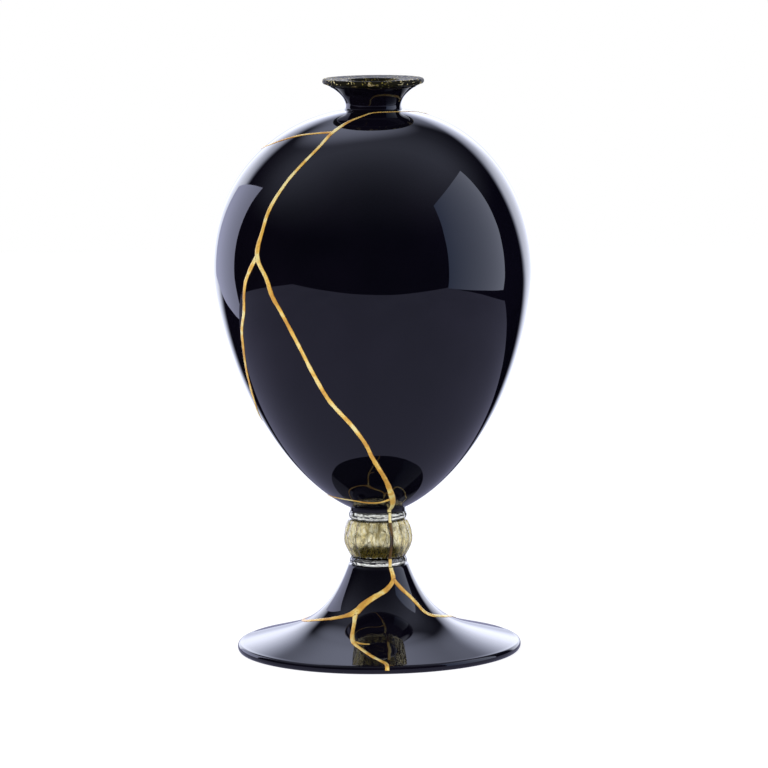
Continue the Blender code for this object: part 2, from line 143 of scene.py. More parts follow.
def add_node(
    tree: bpy.types.NodeTree, kind: str, sockets: dict | None = None, **settings: object,
) -> bpy.types.Node:
    """Add a node to a tree, with its settings, its values and its links.

    Args:
        tree: The node tree.
        kind: The node's type.
        sockets: A value, or the output socket to link, for each input by name or place.
        settings: The node's own properties.

    Returns:
        The new node.
    """
    node = tree.nodes.new(kind)
    for name, value in settings.items():
        setattr(node, name, value)
    for key, value in (sockets or {}).items():
        if isinstance(value, bpy.types.NodeSocket):
            tree.links.new(value, node.inputs[key])
        else:
            node.inputs[key].default_value = value
    return node


def mix_colours(
    tree: bpy.types.NodeTree, share: object, first: object, second: object,
) -> bpy.types.NodeSocket:
    """Return the colour between two colours, each a socket or three numbers.

    Args:
        tree: The node tree.
        share: A number or a socket, 0 for the first colour and 1 for the second.
        first: The first colour.
        second: The second colour.

    Returns:
        The output socket of a colour mix.
    """
    values = [
        (*value, 1.0) if isinstance(value, tuple) else value for value in (first, second)
    ]
    node = add_node(
        tree, "ShaderNodeMix", {0: share, 6: values[0], 7: values[1]}, data_type="RGBA",
    )
    return node.outputs[2]


def remap(
    tree: bpy.types.NodeTree, value: object, low: float, high: float,
    start: float = 0.0, end: float = 1.0,
) -> bpy.types.NodeSocket:
    """Return a value mapped smoothly from low and high to start and end.

    Args:
        tree: The node tree.
        value: The socket to read.
        low: The value that gives start.
        high: The value that gives end.
        start: What low becomes.
        end: What high becomes.

    Returns:
        The output socket of the mapping.
    """
    node = add_node(
        tree, "ShaderNodeMapRange", {0: value, 1: low, 2: high, 3: start, 4: end},
        interpolation_type="SMOOTHSTEP",
    )
    return node.outputs[0]


def arithmetic(
    tree: bpy.types.NodeTree, operation: str, *values: object,
) -> bpy.types.NodeSocket:
    """Return the result of one sum on numbers or sockets."""
    node = add_node(tree, "ShaderNodeMath", dict(enumerate(values)), operation=operation)
    return node.outputs[0]


def vector_sum(
    tree: bpy.types.NodeTree, operation: str, *values: object,
) -> bpy.types.NodeSocket:
    """Return the vector that one vector operation gives."""
    places = (0, 3) if operation == "SCALE" else range(len(values))
    sockets = dict(zip(places, values))
    return add_node(tree, "ShaderNodeVectorMath", sockets, operation=operation).outputs[0]


def bumped(tree: bpy.types.NodeTree, height: bpy.types.NodeSocket) -> bpy.types.NodeSocket:
    """Return the normal of a surface that rises by a height in metres."""
    sockets = {"Strength": 1.0, "Distance": 1.0, "Height": height}
    return add_node(tree, "ShaderNodeBump", sockets).outputs[0]


def connect(
    tree: bpy.types.NodeTree, node: bpy.types.Node, sockets: dict[str, bpy.types.NodeSocket],
) -> None:
    """Link output sockets to a node's inputs by name."""
    for name, socket in sockets.items():
        tree.links.new(socket, node.inputs[name])


def noise(
    tree: bpy.types.NodeTree, vector: bpy.types.NodeSocket, scale: object,
    detail: float = 2.0, distortion: float = 0.0,
) -> bpy.types.Node:
    """Add a noise texture that reads a vector at a scale."""
    sockets = {"Vector": vector, "Scale": scale, "Detail": detail, "Distortion": distortion}
    return add_node(tree, "ShaderNodeTexNoise", sockets)


class SocketKind(Enum):
    """The kinds of named sockets that the node groups and generators have."""

    VALUE = "NodeSocketFloat"
    COUNT = "NodeSocketInt"
    COLOUR = "NodeSocketColor"
    VECTOR = "NodeSocketVector"
    GEOMETRY = "NodeSocketGeometry"


def new_group(
    name: str, kind: str, inputs: dict[str, SocketKind], outputs: dict[str, SocketKind],
) -> tuple[bpy.types.NodeTree, bpy.types.Node, bpy.types.Node]:
    """Start a node group with its named sockets.

    Args:
        name: The group's name.
        kind: ShaderNodeTree or GeometryNodeTree.
        inputs: The input sockets.
        outputs: The output sockets.

    Returns:
        The tree, its input node and its output node.
    """
    tree = bpy.data.node_groups.new(name, kind)
    for sockets, way in ((inputs, "INPUT"), (outputs, "OUTPUT")):
        for socket_name, socket_kind in sockets.items():
            tree.interface.new_socket(socket_name, in_out=way, socket_type=socket_kind.value)
    return tree, add_node(tree, "NodeGroupInput"), add_node(tree, "NodeGroupOutput")


@dataclass(frozen=True)
class BlownSkin:
    """The skin of blown glass: faint waves from the gather and a film of finger marks."""

    name: str = "blown_skin"

    def group(self) -> bpy.types.NodeTree:
        """Return the shader group, which is built once."""
        if self.name in bpy.data.node_groups:
            return bpy.data.node_groups[self.name]
        tree, given, out = new_group(
            self.name, "ShaderNodeTree",
            {
                "Vector": SocketKind.VECTOR, "Mark Scale": SocketKind.VALUE,
                "Clean": SocketKind.VALUE, "Marked": SocketKind.VALUE,
                "Wave Scale": SocketKind.VALUE, "Wave Height": SocketKind.VALUE,
            },
            {"Roughness": SocketKind.VALUE, "Marks": SocketKind.VALUE, "Normal": SocketKind.VECTOR},
        )
        vector = given.outputs["Vector"]
        marks = noise(tree, vector, given.outputs["Mark Scale"], 7.0, 0.6)
        mask = remap(tree, marks.outputs["Fac"], 0.48, 0.72)
        roughness = add_node(
            tree, "ShaderNodeMix", {0: mask, 2: given.outputs["Clean"], 3: given.outputs["Marked"]},
        )
        flattened = vector_sum(tree, "MULTIPLY", vector, (1.0, 1.0, 2.4))
        waves = noise(tree, flattened, given.outputs["Wave Scale"], 1.5, 0.3)
        height = arithmetic(tree, "MULTIPLY", waves.outputs["Fac"], given.outputs["Wave Height"])
        connect(tree, out, {
            "Roughness": roughness.outputs[0], "Marks": mask, "Normal": bumped(tree, height),
        })
        return tree


@dataclass(frozen=True)
class LeafCrackle:
    """Gold leaf that tore into flakes when the hot glass under it was stretched."""

    name: str = "leaf_crackle"

    def group(self) -> bpy.types.NodeTree:
        """Return the shader group, which is built once."""
        if self.name in bpy.data.node_groups:
            return bpy.data.node_groups[self.name]
        tree, given, out = new_group(
            self.name, "ShaderNodeTree",
            {
                "Vector": SocketKind.VECTOR, "Flake Scale": SocketKind.VALUE,
                "Cover": SocketKind.VALUE, "Crumple": SocketKind.VALUE,
                "Light": SocketKind.COLOUR, "Body": SocketKind.COLOUR,
                "Bare": SocketKind.COLOUR,
            },
            {"Color": SocketKind.COLOUR, "Leaf": SocketKind.VALUE, "Normal": SocketKind.VECTOR},
        )
        vector = given.outputs["Vector"]
        scale = given.outputs["Flake Scale"]
        warp = noise(tree, vector, scale, 3.0)
        shift = vector_sum(tree, "SCALE", warp.outputs["Color"], 0.0016)
        warped = vector_sum(tree, "ADD", vector, shift)
        cells = add_node(
            tree, "ShaderNodeTexVoronoi", {"Vector": warped, "Scale": scale},
            feature="DISTANCE_TO_EDGE",
        )
        patches = noise(tree, vector, arithmetic(tree, "MULTIPLY", scale, 0.45), 5.0, 0.5)
        cracks = remap(tree, cells.outputs["Distance"], 0.01, 0.05)
        spread = arithmetic(tree, "SUBTRACT", patches.outputs["Fac"], given.outputs["Cover"])
        torn = remap(tree, spread, 0.05, -0.05)
        leaf = arithmetic(tree, "MULTIPLY", cracks, torn)
        tone = noise(tree, vector, arithmetic(tree, "MULTIPLY", scale, 1.7), 4.0)
        gold = mix_colours(
            tree, remap(tree, tone.outputs["Fac"], 0.35, 0.65),
            given.outputs["Body"], given.outputs["Light"],
        )
        colour = mix_colours(tree, leaf, given.outputs["Bare"], gold)
        crumple = noise(tree, vector, arithmetic(tree, "MULTIPLY", scale, 2.6), 3.0, 0.8)
        raised = arithmetic(tree, "MULTIPLY_ADD", leaf, 0.25, crumple.outputs["Fac"])
        relief = arithmetic(tree, "MULTIPLY", raised, given.outputs["Crumple"])
        connect(tree, out, {"Color": colour, "Leaf": leaf, "Normal": bumped(tree, relief)})
        return tree


def place_group(
    tree: bpy.types.NodeTree, group: bpy.types.NodeTree, sockets: dict,
) -> bpy.types.Node:
    """Place a shader group in a material's tree, with its values and links."""
    values = {
        name: (*value, 1.0) if isinstance(value, tuple) else value
        for name, value in sockets.items()
    }
    return add_node(tree, "ShaderNodeGroup", values, node_tree=group)


def start_material(
    name: str, **plain: float,
) -> tuple[bpy.types.Material, bpy.types.NodeTree, bpy.types.Node, bpy.types.NodeSocket]:
    """Start a material from its shader's plain values.

    Args:
        name: The material's name.
        plain: Plain values by the shader's socket names, with _ for each space.

    Returns:
        The material, its tree, its shader and the socket of object coordinates.
    """
    material = bpy.data.materials.new(name)
    material.use_nodes = True
    tree = material.node_tree
    shader = tree.nodes["Principled BSDF"]
    for socket, value in plain.items():
        shader.inputs[socket.replace("_", " ")].default_value = value
    coordinates = add_node(tree, "ShaderNodeTexCoord")
    return material, tree, shader, coordinates.outputs["Object"]


@dataclass(frozen=True)
class BlackGlass:
    """Black glass, which is a very deep violet-blue where the light gets into it."""

    name: str
    deep: Colour = (0.0016, 0.0016, 0.0036)
    thin: Colour = (0.0038, 0.0030, 0.0070)
    clean: float = 0.012
    marked: float = 0.035
    wave_scale: float = 16.0
    wave_height: float = 0.16 * MM
    mark_scale: float = 22.0
    cloud_scale: float = 11.0

    def build(self) -> bpy.types.Material:
        """Return the material."""
        material, tree, shader, coords = start_material(self.name, IOR=1.5)
        skin = place_group(tree, BlownSkin().group(), {
            "Vector": coords, "Mark Scale": self.mark_scale, "Clean": self.clean,
            "Marked": self.marked, "Wave Scale": self.wave_scale,
            "Wave Height": self.wave_height,
        })
        clouds = noise(tree, coords, self.cloud_scale, 4.0, 0.4)
        depth = remap(tree, clouds.outputs["Fac"], 0.3, 0.7)
        connect(tree, shader, {
            "Base Color": mix_colours(tree, depth, self.deep, self.thin),
            "Roughness": skin.outputs["Roughness"], "Normal": skin.outputs["Normal"],
        })
        return material


@dataclass(frozen=True)
class ClearGlass:
    """Clear glass, see-through, with the cords and swirls of a hand-made collar."""

    name: str
    clear: Colour = (0.93, 0.94, 0.92)
    smoky: Colour = (0.50, 0.51, 0.48)
    swirl_scale: float = 190.0
    swirl_height: float = 0.32 * MM
    smoke_scale: float = 152.0
    smoke_edges: Station = (0.44, 0.60)
    mark_scale: float = 90.0
    marked: float = 0.03

    def build(self) -> bpy.types.Material:
        """Return the material."""
        material, tree, shader, coords = start_material(
            self.name, IOR=1.5, Metallic=0.0, Transmission_Weight=1.0,
        )
        skin = place_group(tree, BlownSkin().group(), {
            "Vector": coords, "Mark Scale": self.mark_scale, "Clean": 0.0, "Marked": self.marked,
            "Wave Scale": self.swirl_scale, "Wave Height": self.swirl_height,
        })
        smoke = noise(tree, coords, self.smoke_scale, 3.0, 1.2)
        share = remap(tree, smoke.outputs["Fac"], *self.smoke_edges)
        connect(tree, shader, {
            "Base Color": mix_colours(tree, share, self.clear, self.smoky),
            "Roughness": skin.outputs["Roughness"], "Normal": skin.outputs["Normal"],
        })
        return material


@dataclass(frozen=True)
class GoldLeaf:
    """Gold leaf stretched upwards on its glass, pale above a painted reflection of the dark foot: dark
    olive over its lower middle, front and back.
    """

    name: str
    light: Colour = (1.0, 0.94, 0.70)
    body: Colour = (0.90, 0.76, 0.38)
    bare: Colour = (0.62, 0.51, 0.26)
    # Dark olive for a painted reflection of the dark foot on the leaf's lower middle; the fields below
    # say where it lies.
    painted_reflection: Colour = (0.22, 0.18, 0.04)
    stretch: Colour = (1.0, 1.0, 0.22)
    painted_reflection_below: Station = (0.0, 0.0)
    painted_reflection_width: float = 9.0 * MM
    painted_reflection_fade: float = 1.5
    waver: float = 6.0 * MM
    waver_scale: float = 130.0
    flake_scale: float = 420.0
    cover: float = 0.66
    crumple: float = 0.02 * MM
    sheen: float = 0.75
    roughness: Station = (0.14, 0.24)

    def build(self) -> bpy.types.Material:
        """Return the material."""
        material, tree, shader, coords = start_material(self.name, IOR=1.5)
        crackle = place_group(tree, LeafCrackle().group(), {
            "Vector": vector_sum(tree, "MULTIPLY", coords, self.stretch),
            "Flake Scale": self.flake_scale, "Cover": self.cover, "Crumple": self.crumple,
            "Light": self.light, "Body": self.body, "Bare": self.bare,
        })
        leaf = crackle.outputs["Leaf"]
        axes = add_node(tree, "ShaderNodeSeparateXYZ", {0: coords}).outputs
        # Painted reflection of the dark foot: the leaf turns dark olive below a wavering height, within
        # a band round the front and back middle.
        patches = noise(tree, coords, self.waver_scale, 3.0)
        waver = arithmetic(tree, "MULTIPLY_ADD", patches.outputs["Fac"], self.waver, axes[2])
        aside = arithmetic(tree, "ABSOLUTE", axes[0])
        outside = remap(tree, aside, self.painted_reflection_width, self.painted_reflection_width * self.painted_reflection_fade)
        clear_of_painted_reflection = arithmetic(tree, "MAXIMUM", remap(tree, waver, *self.painted_reflection_below), outside)
        colour = mix_colours(tree, clear_of_painted_reflection, self.painted_reflection, crackle.outputs["Color"])
        connect(tree, shader, {
            "Base Color": colour, "Metallic": arithmetic(tree, "MULTIPLY", leaf, self.sheen),
            "Roughness": remap(tree, leaf, 0.0, 1.0, *self.roughness),
            "Normal": crackle.outputs["Normal"],
        })
        return material


@dataclass(frozen=True)
class FleckedGlass:
    """Dark olive glass with gold leaf rolled into it, lumpy where the leaf lies."""

    name: str
    glass: Colour = (0.010, 0.009, 0.005)
    flake_scale: float = 480.0
    cover: float = 0.36
    crumple: float = 0.14 * MM
    light: Colour = (0.95, 0.80, 0.48)
    body: Colour = (0.42, 0.30, 0.09)
    sheen: float = 0.3
    roughness: Station = (0.42, 0.55)

    def build(self) -> bpy.types.Material:
        """Return the material."""
        material, tree, shader, coords = start_material(
            self.name, IOR=1.5, Specular_IOR_Level=0.05,
        )
        crackle = place_group(tree, LeafCrackle().group(), {
            "Vector": coords, "Flake Scale": self.flake_scale, "Cover": self.cover,
            "Crumple": self.crumple, "Light": self.light, "Body": self.body,
            "Bare": self.glass,
        })
        leaf = crackle.outputs["Leaf"]
        connect(tree, shader, {
            "Base Color": crackle.outputs["Color"], "Normal": crackle.outputs["Normal"],
            "Metallic": arithmetic(tree, "MULTIPLY", leaf, self.sheen),
            "Roughness": remap(tree, leaf, 0.0, 1.0, *self.roughness),
        })
        return material


@dataclass(frozen=True)
class SeamGold:
    """Gold powder on lacquer: a bright satin crown between thin orange-brown edges."""

    name: str
    pale: Colour = (1.0, 0.86, 0.38)
    body: Colour = (0.95, 0.62, 0.13)
    shade: Colour = (0.72, 0.38, 0.07)
    edge: Colour = (0.42, 0.17, 0.035)
    metal: float = 0.30
    metal_floor: float = 0.6
    roughness: Station = (0.26, 0.44)
    patch_scale: float = 95.0
    grain_scale: float = 1500.0
    grain_share: float = 0.18
    lump_scale: float = 700.0
    lump_height: float = 0.05 * MM

    def build(self) -> bpy.types.Material:
        """Return the material."""
        material, tree, shader, coords = start_material(self.name, IOR=1.5)
        patches = noise(tree, coords, self.patch_scale, 3.0, 0.4).outputs["Fac"]
        grains = noise(tree, coords, self.grain_scale, 2.0).outputs["Fac"]
        lumps = noise(tree, coords, self.lump_scale, 3.0).outputs["Fac"]
        crown = add_node(tree, "ShaderNodeAttribute", attribute_name="crown").outputs["Fac"]
        body = mix_colours(tree, remap(tree, patches, 0.34, 0.54), self.shade, self.body)
        bright = arithmetic(tree, "MULTIPLY_ADD", grains, self.grain_share, patches)
        rubbed = mix_colours(tree, remap(tree, bright, 0.56, 0.72), body, self.pale)
        colour = mix_colours(tree, remap(tree, crown, 0.12, 0.55), self.edge, rubbed)
        connect(tree, shader, {
            "Base Color": colour,
            "Roughness": remap(tree, grains, 0.3, 0.7, *self.roughness),
            "Metallic": remap(tree, lumps, 0.3, 0.6, self.metal * self.metal_floor, self.metal),
            "Normal": bumped(tree, arithmetic(tree, "MULTIPLY", lumps, self.lump_height)),
        })
        return material


def add_mesh_object(name: str, bm: bmesh.types.BMesh) -> bpy.types.Object:
    """Turn a bmesh into a smooth object at the origin, with its faces pointing out."""
    bmesh.ops.recalc_face_normals(bm, faces=bm.faces)
    mesh = bpy.data.meshes.new(name)
    bm.to_mesh(mesh)
    bm.free()
    mesh.shade_smooth()
    piece = bpy.data.objects.new(name, mesh)
    bpy.context.scene.collection.objects.link(piece)
    return piece


def spin_skin(
    name: str, outline: list[Station], segments: int, closed: bool = False,
) -> bpy.types.Object:
    """Spin an outline about the Z axis into one closed skin.

    Args:
        name: The object's name.
        outline: Radius and height pairs. If it isn't closed it ends on the axis twice.
        segments: How many faces go round.
        closed: Whether the last point joins the first.

    Returns:
        The new object, shaded smooth between its sharp edges.
    """
    bm = bmesh.new()
    verts = [bm.verts.new((radius, 0.0, height)) for radius, height in outline]
    edges = [bm.edges.new(pair) for pair in zip(verts, verts[1:])]
    if closed:
        edges.append(bm.edges.new((verts[-1], verts[0])))
    bmesh.ops.spin(
        bm, geom=verts + edges, cent=(0, 0, 0), axis=(0, 0, 1),
        angle=math.tau, steps=segments, use_merge=True,
    )
    bmesh.ops.remove_doubles(bm, verts=bm.verts, dist=SAME_POINT)
    piece = add_mesh_object(name, bm)
    piece.data.set_sharp_from_angle(angle=SHARP_ANGLE)
    return piece


def bend(start: Station, corner: Station, end: Station, steps: int) -> list[Station]:
    """Return the points of a smooth bend that leaves and meets its two straight arms."""
    points = []
    for step in range(steps + 1):
        t = step / steps
        points.append(tuple(
            a * (1 - t) ** 2 + 2 * b * t * (1 - t) + c * t ** 2
            for a, b, c in zip(start, corner, end)
        ))
    return points


def end_generator(
    tree: bpy.types.NodeTree, out: bpy.types.Node, shape: bpy.types.NodeSocket,
    material: bpy.types.Material,
) -> None:
    """End a generator: its instances become real mesh with their material.

    Args:
        tree: The generator.
        out: Its output node.
        shape: The geometry that it made.
        material: The finish of that geometry.
    """
    real = add_node(tree, "GeometryNodeRealizeInstances", {0: shape})
    dressed = add_node(tree, "GeometryNodeSetMaterial", {0: real.outputs[0], "Material": material})
    tree.links.new(dressed.outputs[0], out.inputs[0])


def generate(
    piece: bpy.types.Object, tree: bpy.types.NodeTree, values: dict[str, float],
) -> bpy.types.Object:
    """Run a geometry generator on a piece and keep its result as a plain mesh.

    Args:
        piece: The object that the generator starts from.
        tree: The generator.
        values: The generator's inputs by name.

    Returns:
        The same object, with its new mesh and no modifier.
    """
    modifier = piece.modifiers.new(tree.name, "NODES")
    modifier.node_group = tree
    for item in tree.interface.items_tree:
        if item.in_out == "INPUT" and item.name in values:
            modifier[item.identifier] = values[item.name]
    return settle(piece)


def settle(piece: bpy.types.Object) -> bpy.types.Object:
    """Turn what a piece's modifiers give into its plain mesh, and remove them."""
    graph = bpy.context.evaluated_depsgraph_get()
    mesh = bpy.data.meshes.new_from_object(piece.evaluated_get(graph), depsgraph=graph)
    piece.modifiers.clear()
    before = piece.data
    piece.data = mesh
    bpy.data.meshes.remove(before)
    mesh.name = piece.name
    return piece


def hand_over(piece: bpy.types.Object, slot: str, *nodes: str) -> bpy.types.Object:
    """Let a finished piece ride on the vase and stand for its solid pieces.

    Args:
        piece: The finished piece.
        slot: The record's material slot; not used.
        nodes: The solid pieces that it stands for.

    Returns:
        The same piece.
    """
    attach(piece, BODY)
    if nodes:
        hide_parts(*nodes)
    log.info("%s: %d faces, stands for %s", piece.name, len(piece.data.polygons), nodes or "nothing")
    return piece


def dress(piece: bpy.types.Object, material: bpy.types.Material) -> None:
    """Give a piece its one material."""
    piece.data.materials.clear()
    piece.data.materials.append(material)


class Surface(Protocol):
    """A spun surface that a seam can be laid on."""

    nudge: float

    def point(self, longitude: float, place: float) -> Vector:
        """Return the point at a longitude and a place along the outline."""


@dataclass
class Foot:
    """The trumpet foot: a shallow disc that flares up into the stem, hollow below."""

    radius: float = 79.3 * MM
    height: float = 48.0 * MM
    stem_radius: float = 16.9 * MM
    rim_thickness: float = 4.6 * MM
    rim_rounding: float = 1.7 * MM
    ring_width: float = 3.4 * MM
    wall: float = 3.4 * MM
    hollow_height: float = 30.0 * MM
    hollow_setback: float = 0.6 * MM
    disc_slope: float = 0.26
    flare_power: float = 5.2
    crown_power: float = 6.0
    segments: int = 192
    nudge: float = 0.005

    def top(self, radius: float) -> Station:
        """Return the height and the slope of the upper side at a radius."""
        edge = self.radius - self.rim_rounding
        run = edge - self.stem_radius
        share = (edge - radius) / run
        flare = self.height - self.rim_thickness - self.disc_slope * run
        height = self.rim_thickness + self.disc_slope * (edge - radius)
        height += flare * share ** self.flare_power
        slope = self.disc_slope + flare * self.flare_power / run * share ** (self.flare_power - 1)
        return height, slope

    def outline(self, place: float) -> Station:
        """Return the radius and height at a place: -1 table, 0 rim's top, 1 stem."""
        edge = self.radius - self.rim_rounding
        if place >= 0:
            radius = lerp(edge, self.stem_radius, place)
            return radius, self.top(radius)[0]
        turn = math.radians(90 + 180 * place)
        half = self.rim_thickness / 2
        return edge + self.rim_rounding * math.cos(turn), half + half * math.sin(turn)

    def hollow(self, radius: float) -> float:
        """Return the height of the hollow at a radius, rounded off at its crown."""
        height, slope = self.top(radius)
        under = height - self.wall * math.hypot(1, slope)
        ratio = under / self.hollow_height
        return under / (1 + ratio ** self.crown_power) ** (1 / self.crown_power)

    def point(self, longitude: float, place: float) -> Vector:
        """Return the point of the upper side at a longitude and a place."""
        radius, height = self.outline(place)
        turn = math.radians(longitude)
        return Vector((radius * math.sin(turn), -radius * math.cos(turn), height))

    def build(self) -> bpy.types.Object:
        """Return the foot, whose stem runs a hair into the collar that is melted to it."""
        stem_steps, rim_steps, hollow_steps = 90, 20, 48
        stem_top = base_of("lower_collar") + MELT
        outline = [(0.0, stem_top), (self.stem_radius - 0.4 * MM, stem_top)]
        outline.append((self.stem_radius, self.height))
        for step in range(1, stem_steps):
            outline.append(self.outline((1 - step / stem_steps) ** 0.8))
        outline += [self.outline(-step / rim_steps) for step in range(rim_steps + 1)]
        ring_edge = self.radius - self.rim_rounding - self.ring_width
        outline.append((ring_edge, 0.0))
        for step in range(hollow_steps + 1):
            radius = (ring_edge - self.hollow_setback) * (1 - step / hollow_steps)
            outline.append((radius, self.hollow(radius)))
        return spin_skin("foot_glass", outline, self.segments)


@dataclass
class Bowl:
    """The bowl, an egg with its point down, and the neck that rises from it."""

    radius: float = 89.0 * MM
    widest_height: float = 134.1 * MM
    crown_height: float = 224.4 * MM
    base_radius: float = 15.6 * MM
    tip_depth: float = 2.9 * MM
    wall: float = 3.0 * MM
    base_thickness: float = 8.0 * MM
    sway: float = 1.8 * MM
    sway_power: float = 2.3
    upper_powers: Station = (2.02, 2.18)
    lower_powers: Station = (1.63, 1.73)
    neck_height: float = 11.9 * MM
    neck_radius: float = 15.8 * MM
    neck_top_radius: float = 24.5 * MM
    neck_flare_power: float = 2.6
    mouth_flare: float = 1.2 * MM
    fillet: float = 3.0 * MM
    segments: int = 224
    nudge: float = 0.5

    @property
    def base(self) -> float:
        """The height of the bowl's underside."""
        return base_of("bowl")

    def egg(self, latitude: float, radius: float, rise: float, drop: float) -> Station:
        """Return the radius and height of an egg at a latitude.

        Args:
            latitude: Degrees from the widest ring, positive upwards.
            radius: The egg's radius at its widest.
            rise: From the widest ring up to the crown's tip.
            drop: From the widest ring down to the lower tip.

        Returns:
            The radius, and the height over the widest ring.
        """
        share = abs(math.sin(math.radians(latitude)))
        first, second = self.upper_powers if latitude >= 0 else self.lower_powers
        height = rise * share if latitude >= 0 else -drop * share
        return radius * (1 - share ** first) ** (1 / second), height

    def latitude_of(self, ring: float, radius: float, powers: Station) -> float:
        """Return the latitude at which an egg has narrowed to a ring."""
        share = (1 - (ring / radius) ** powers[1]) ** (1 / powers[0])
        return math.degrees(math.asin(share))

    def outline(self, latitude: float) -> Station:
        """Return the outer radius and the height over the base at a latitude."""
        rise = self.crown_height - self.widest_height
        drop = self.widest_height + self.tip_depth
        radius, height = self.egg(latitude, self.radius, rise, drop)
        return max(radius, self.base_radius), max(self.widest_height + height, 0.0)

    def lean(self, height: float) -> float:
        """Return how far the centre line leans to the side at a height over the base."""
        share = min(max(height / self.crown_height, 0.0), 1.0)
        return -self.sway * math.sin(math.pi * share ** self.sway_power)

    def neck(self, share: float) -> Station:
        """Return the neck's outer radius and height, from shoulder 0 to lip 1."""
        radius = lerp(self.neck_radius, self.neck_top_radius, share ** self.neck_flare_power)
        return radius, self.crown_height + self.neck_height * share

    def bore(self, share: float) -> float:
        """Return the radius of the neck's bore, which widens towards the lip."""
        return self.neck_radius - self.wall + self.mouth_flare * share ** 3

    def point(self, longitude: float, place: float) -> Vector:
        """Return the point of the outside at a longitude and a latitude."""
        radius, height = self.outline(place)
        turn = math.radians(longitude)
        side = radius * math.sin(turn) + self.lean(height)
        return Vector((side, -radius * math.cos(turn), self.base + height))

    def outside(self) -> list[Station]:
        """Return the outer outline, from the neck's top to the middle of the base."""
        neck_steps, egg_steps, bend_steps = 26, 72, 12
        bend_share = 1.6 * self.fillet / self.neck_height
        outline = [self.neck(lerp(1.0, bend_share, step / neck_steps)) for step in range(neck_steps)]
        top = self.latitude_of(self.neck_radius + self.fillet, self.radius, self.upper_powers)
        foot = self.latitude_of(self.base_radius, self.radius, self.lower_powers)
        shoulder = self.outline(top)
        waist = self.neck(bend_share)
        taper = (outline[-1][0] - waist[0]) / (outline[-1][1] - waist[1])
        corner = (waist[0] - taper * (waist[1] - shoulder[1]), shoulder[1])
        outline += bend(waist, corner, shoulder, bend_steps)
        outline += [self.outline(top * (1 - step / egg_steps)) for step in range(1, egg_steps)]
        outline += [self.outline(-foot * step / egg_steps) for step in range(egg_steps + 1)]
        return outline + [(self.base_radius, -MELT - self.gap), (0.0, -MELT - self.gap)]

    @property
    def gap(self) -> float:
        """How far the bowl's base stands over the collar below it."""
        return self.base - span_of("upper_collar")[1]

    def inside(self) -> list[Station]:
        """Return the inner outline, from the middle of the floor to the neck's top."""
        egg_steps, bore_steps = 48, 12
        radius = self.radius - self.wall
        rise = self.crown_height - self.widest_height - self.wall
        drop = self.widest_height - self.base_thickness
        top = self.latitude_of(self.bore(0), radius, self.upper_powers)
        latitudes = [-90 + 90 * step / egg_steps for step in range(egg_steps)]
        latitudes += [top * step / egg_steps for step in range(egg_steps + 1)]
        outline = []
        for latitude in latitudes:
            ring, height = self.egg(latitude, radius, rise, drop)
            outline.append((ring, self.widest_height + height))
        for step in range(1, bore_steps + 1):
            share = step / bore_steps
            outline.append((self.bore(share), self.neck(share)[1]))
        return outline

    def build(self) -> bpy.types.Object:
        """Return the bowl with its neck, its centre line leaning a little."""
        outline = self.outside() + self.inside()
        lip_gap = base_of("lip_wrap") - self.base - self.crown_height - self.neck_height
        piece = spin_skin("bowl_glass", outline, self.segments, closed=True)
        top = self.crown_height + self.neck_height
        for vert in piece.data.vertices:
            height = vert.co.z
            vert.co.x += self.lean(height)
            vert.co.z += self.base
            if height > top - TOUCH:
                vert.co.z += lip_gap - 2 * TOUCH
        return piece


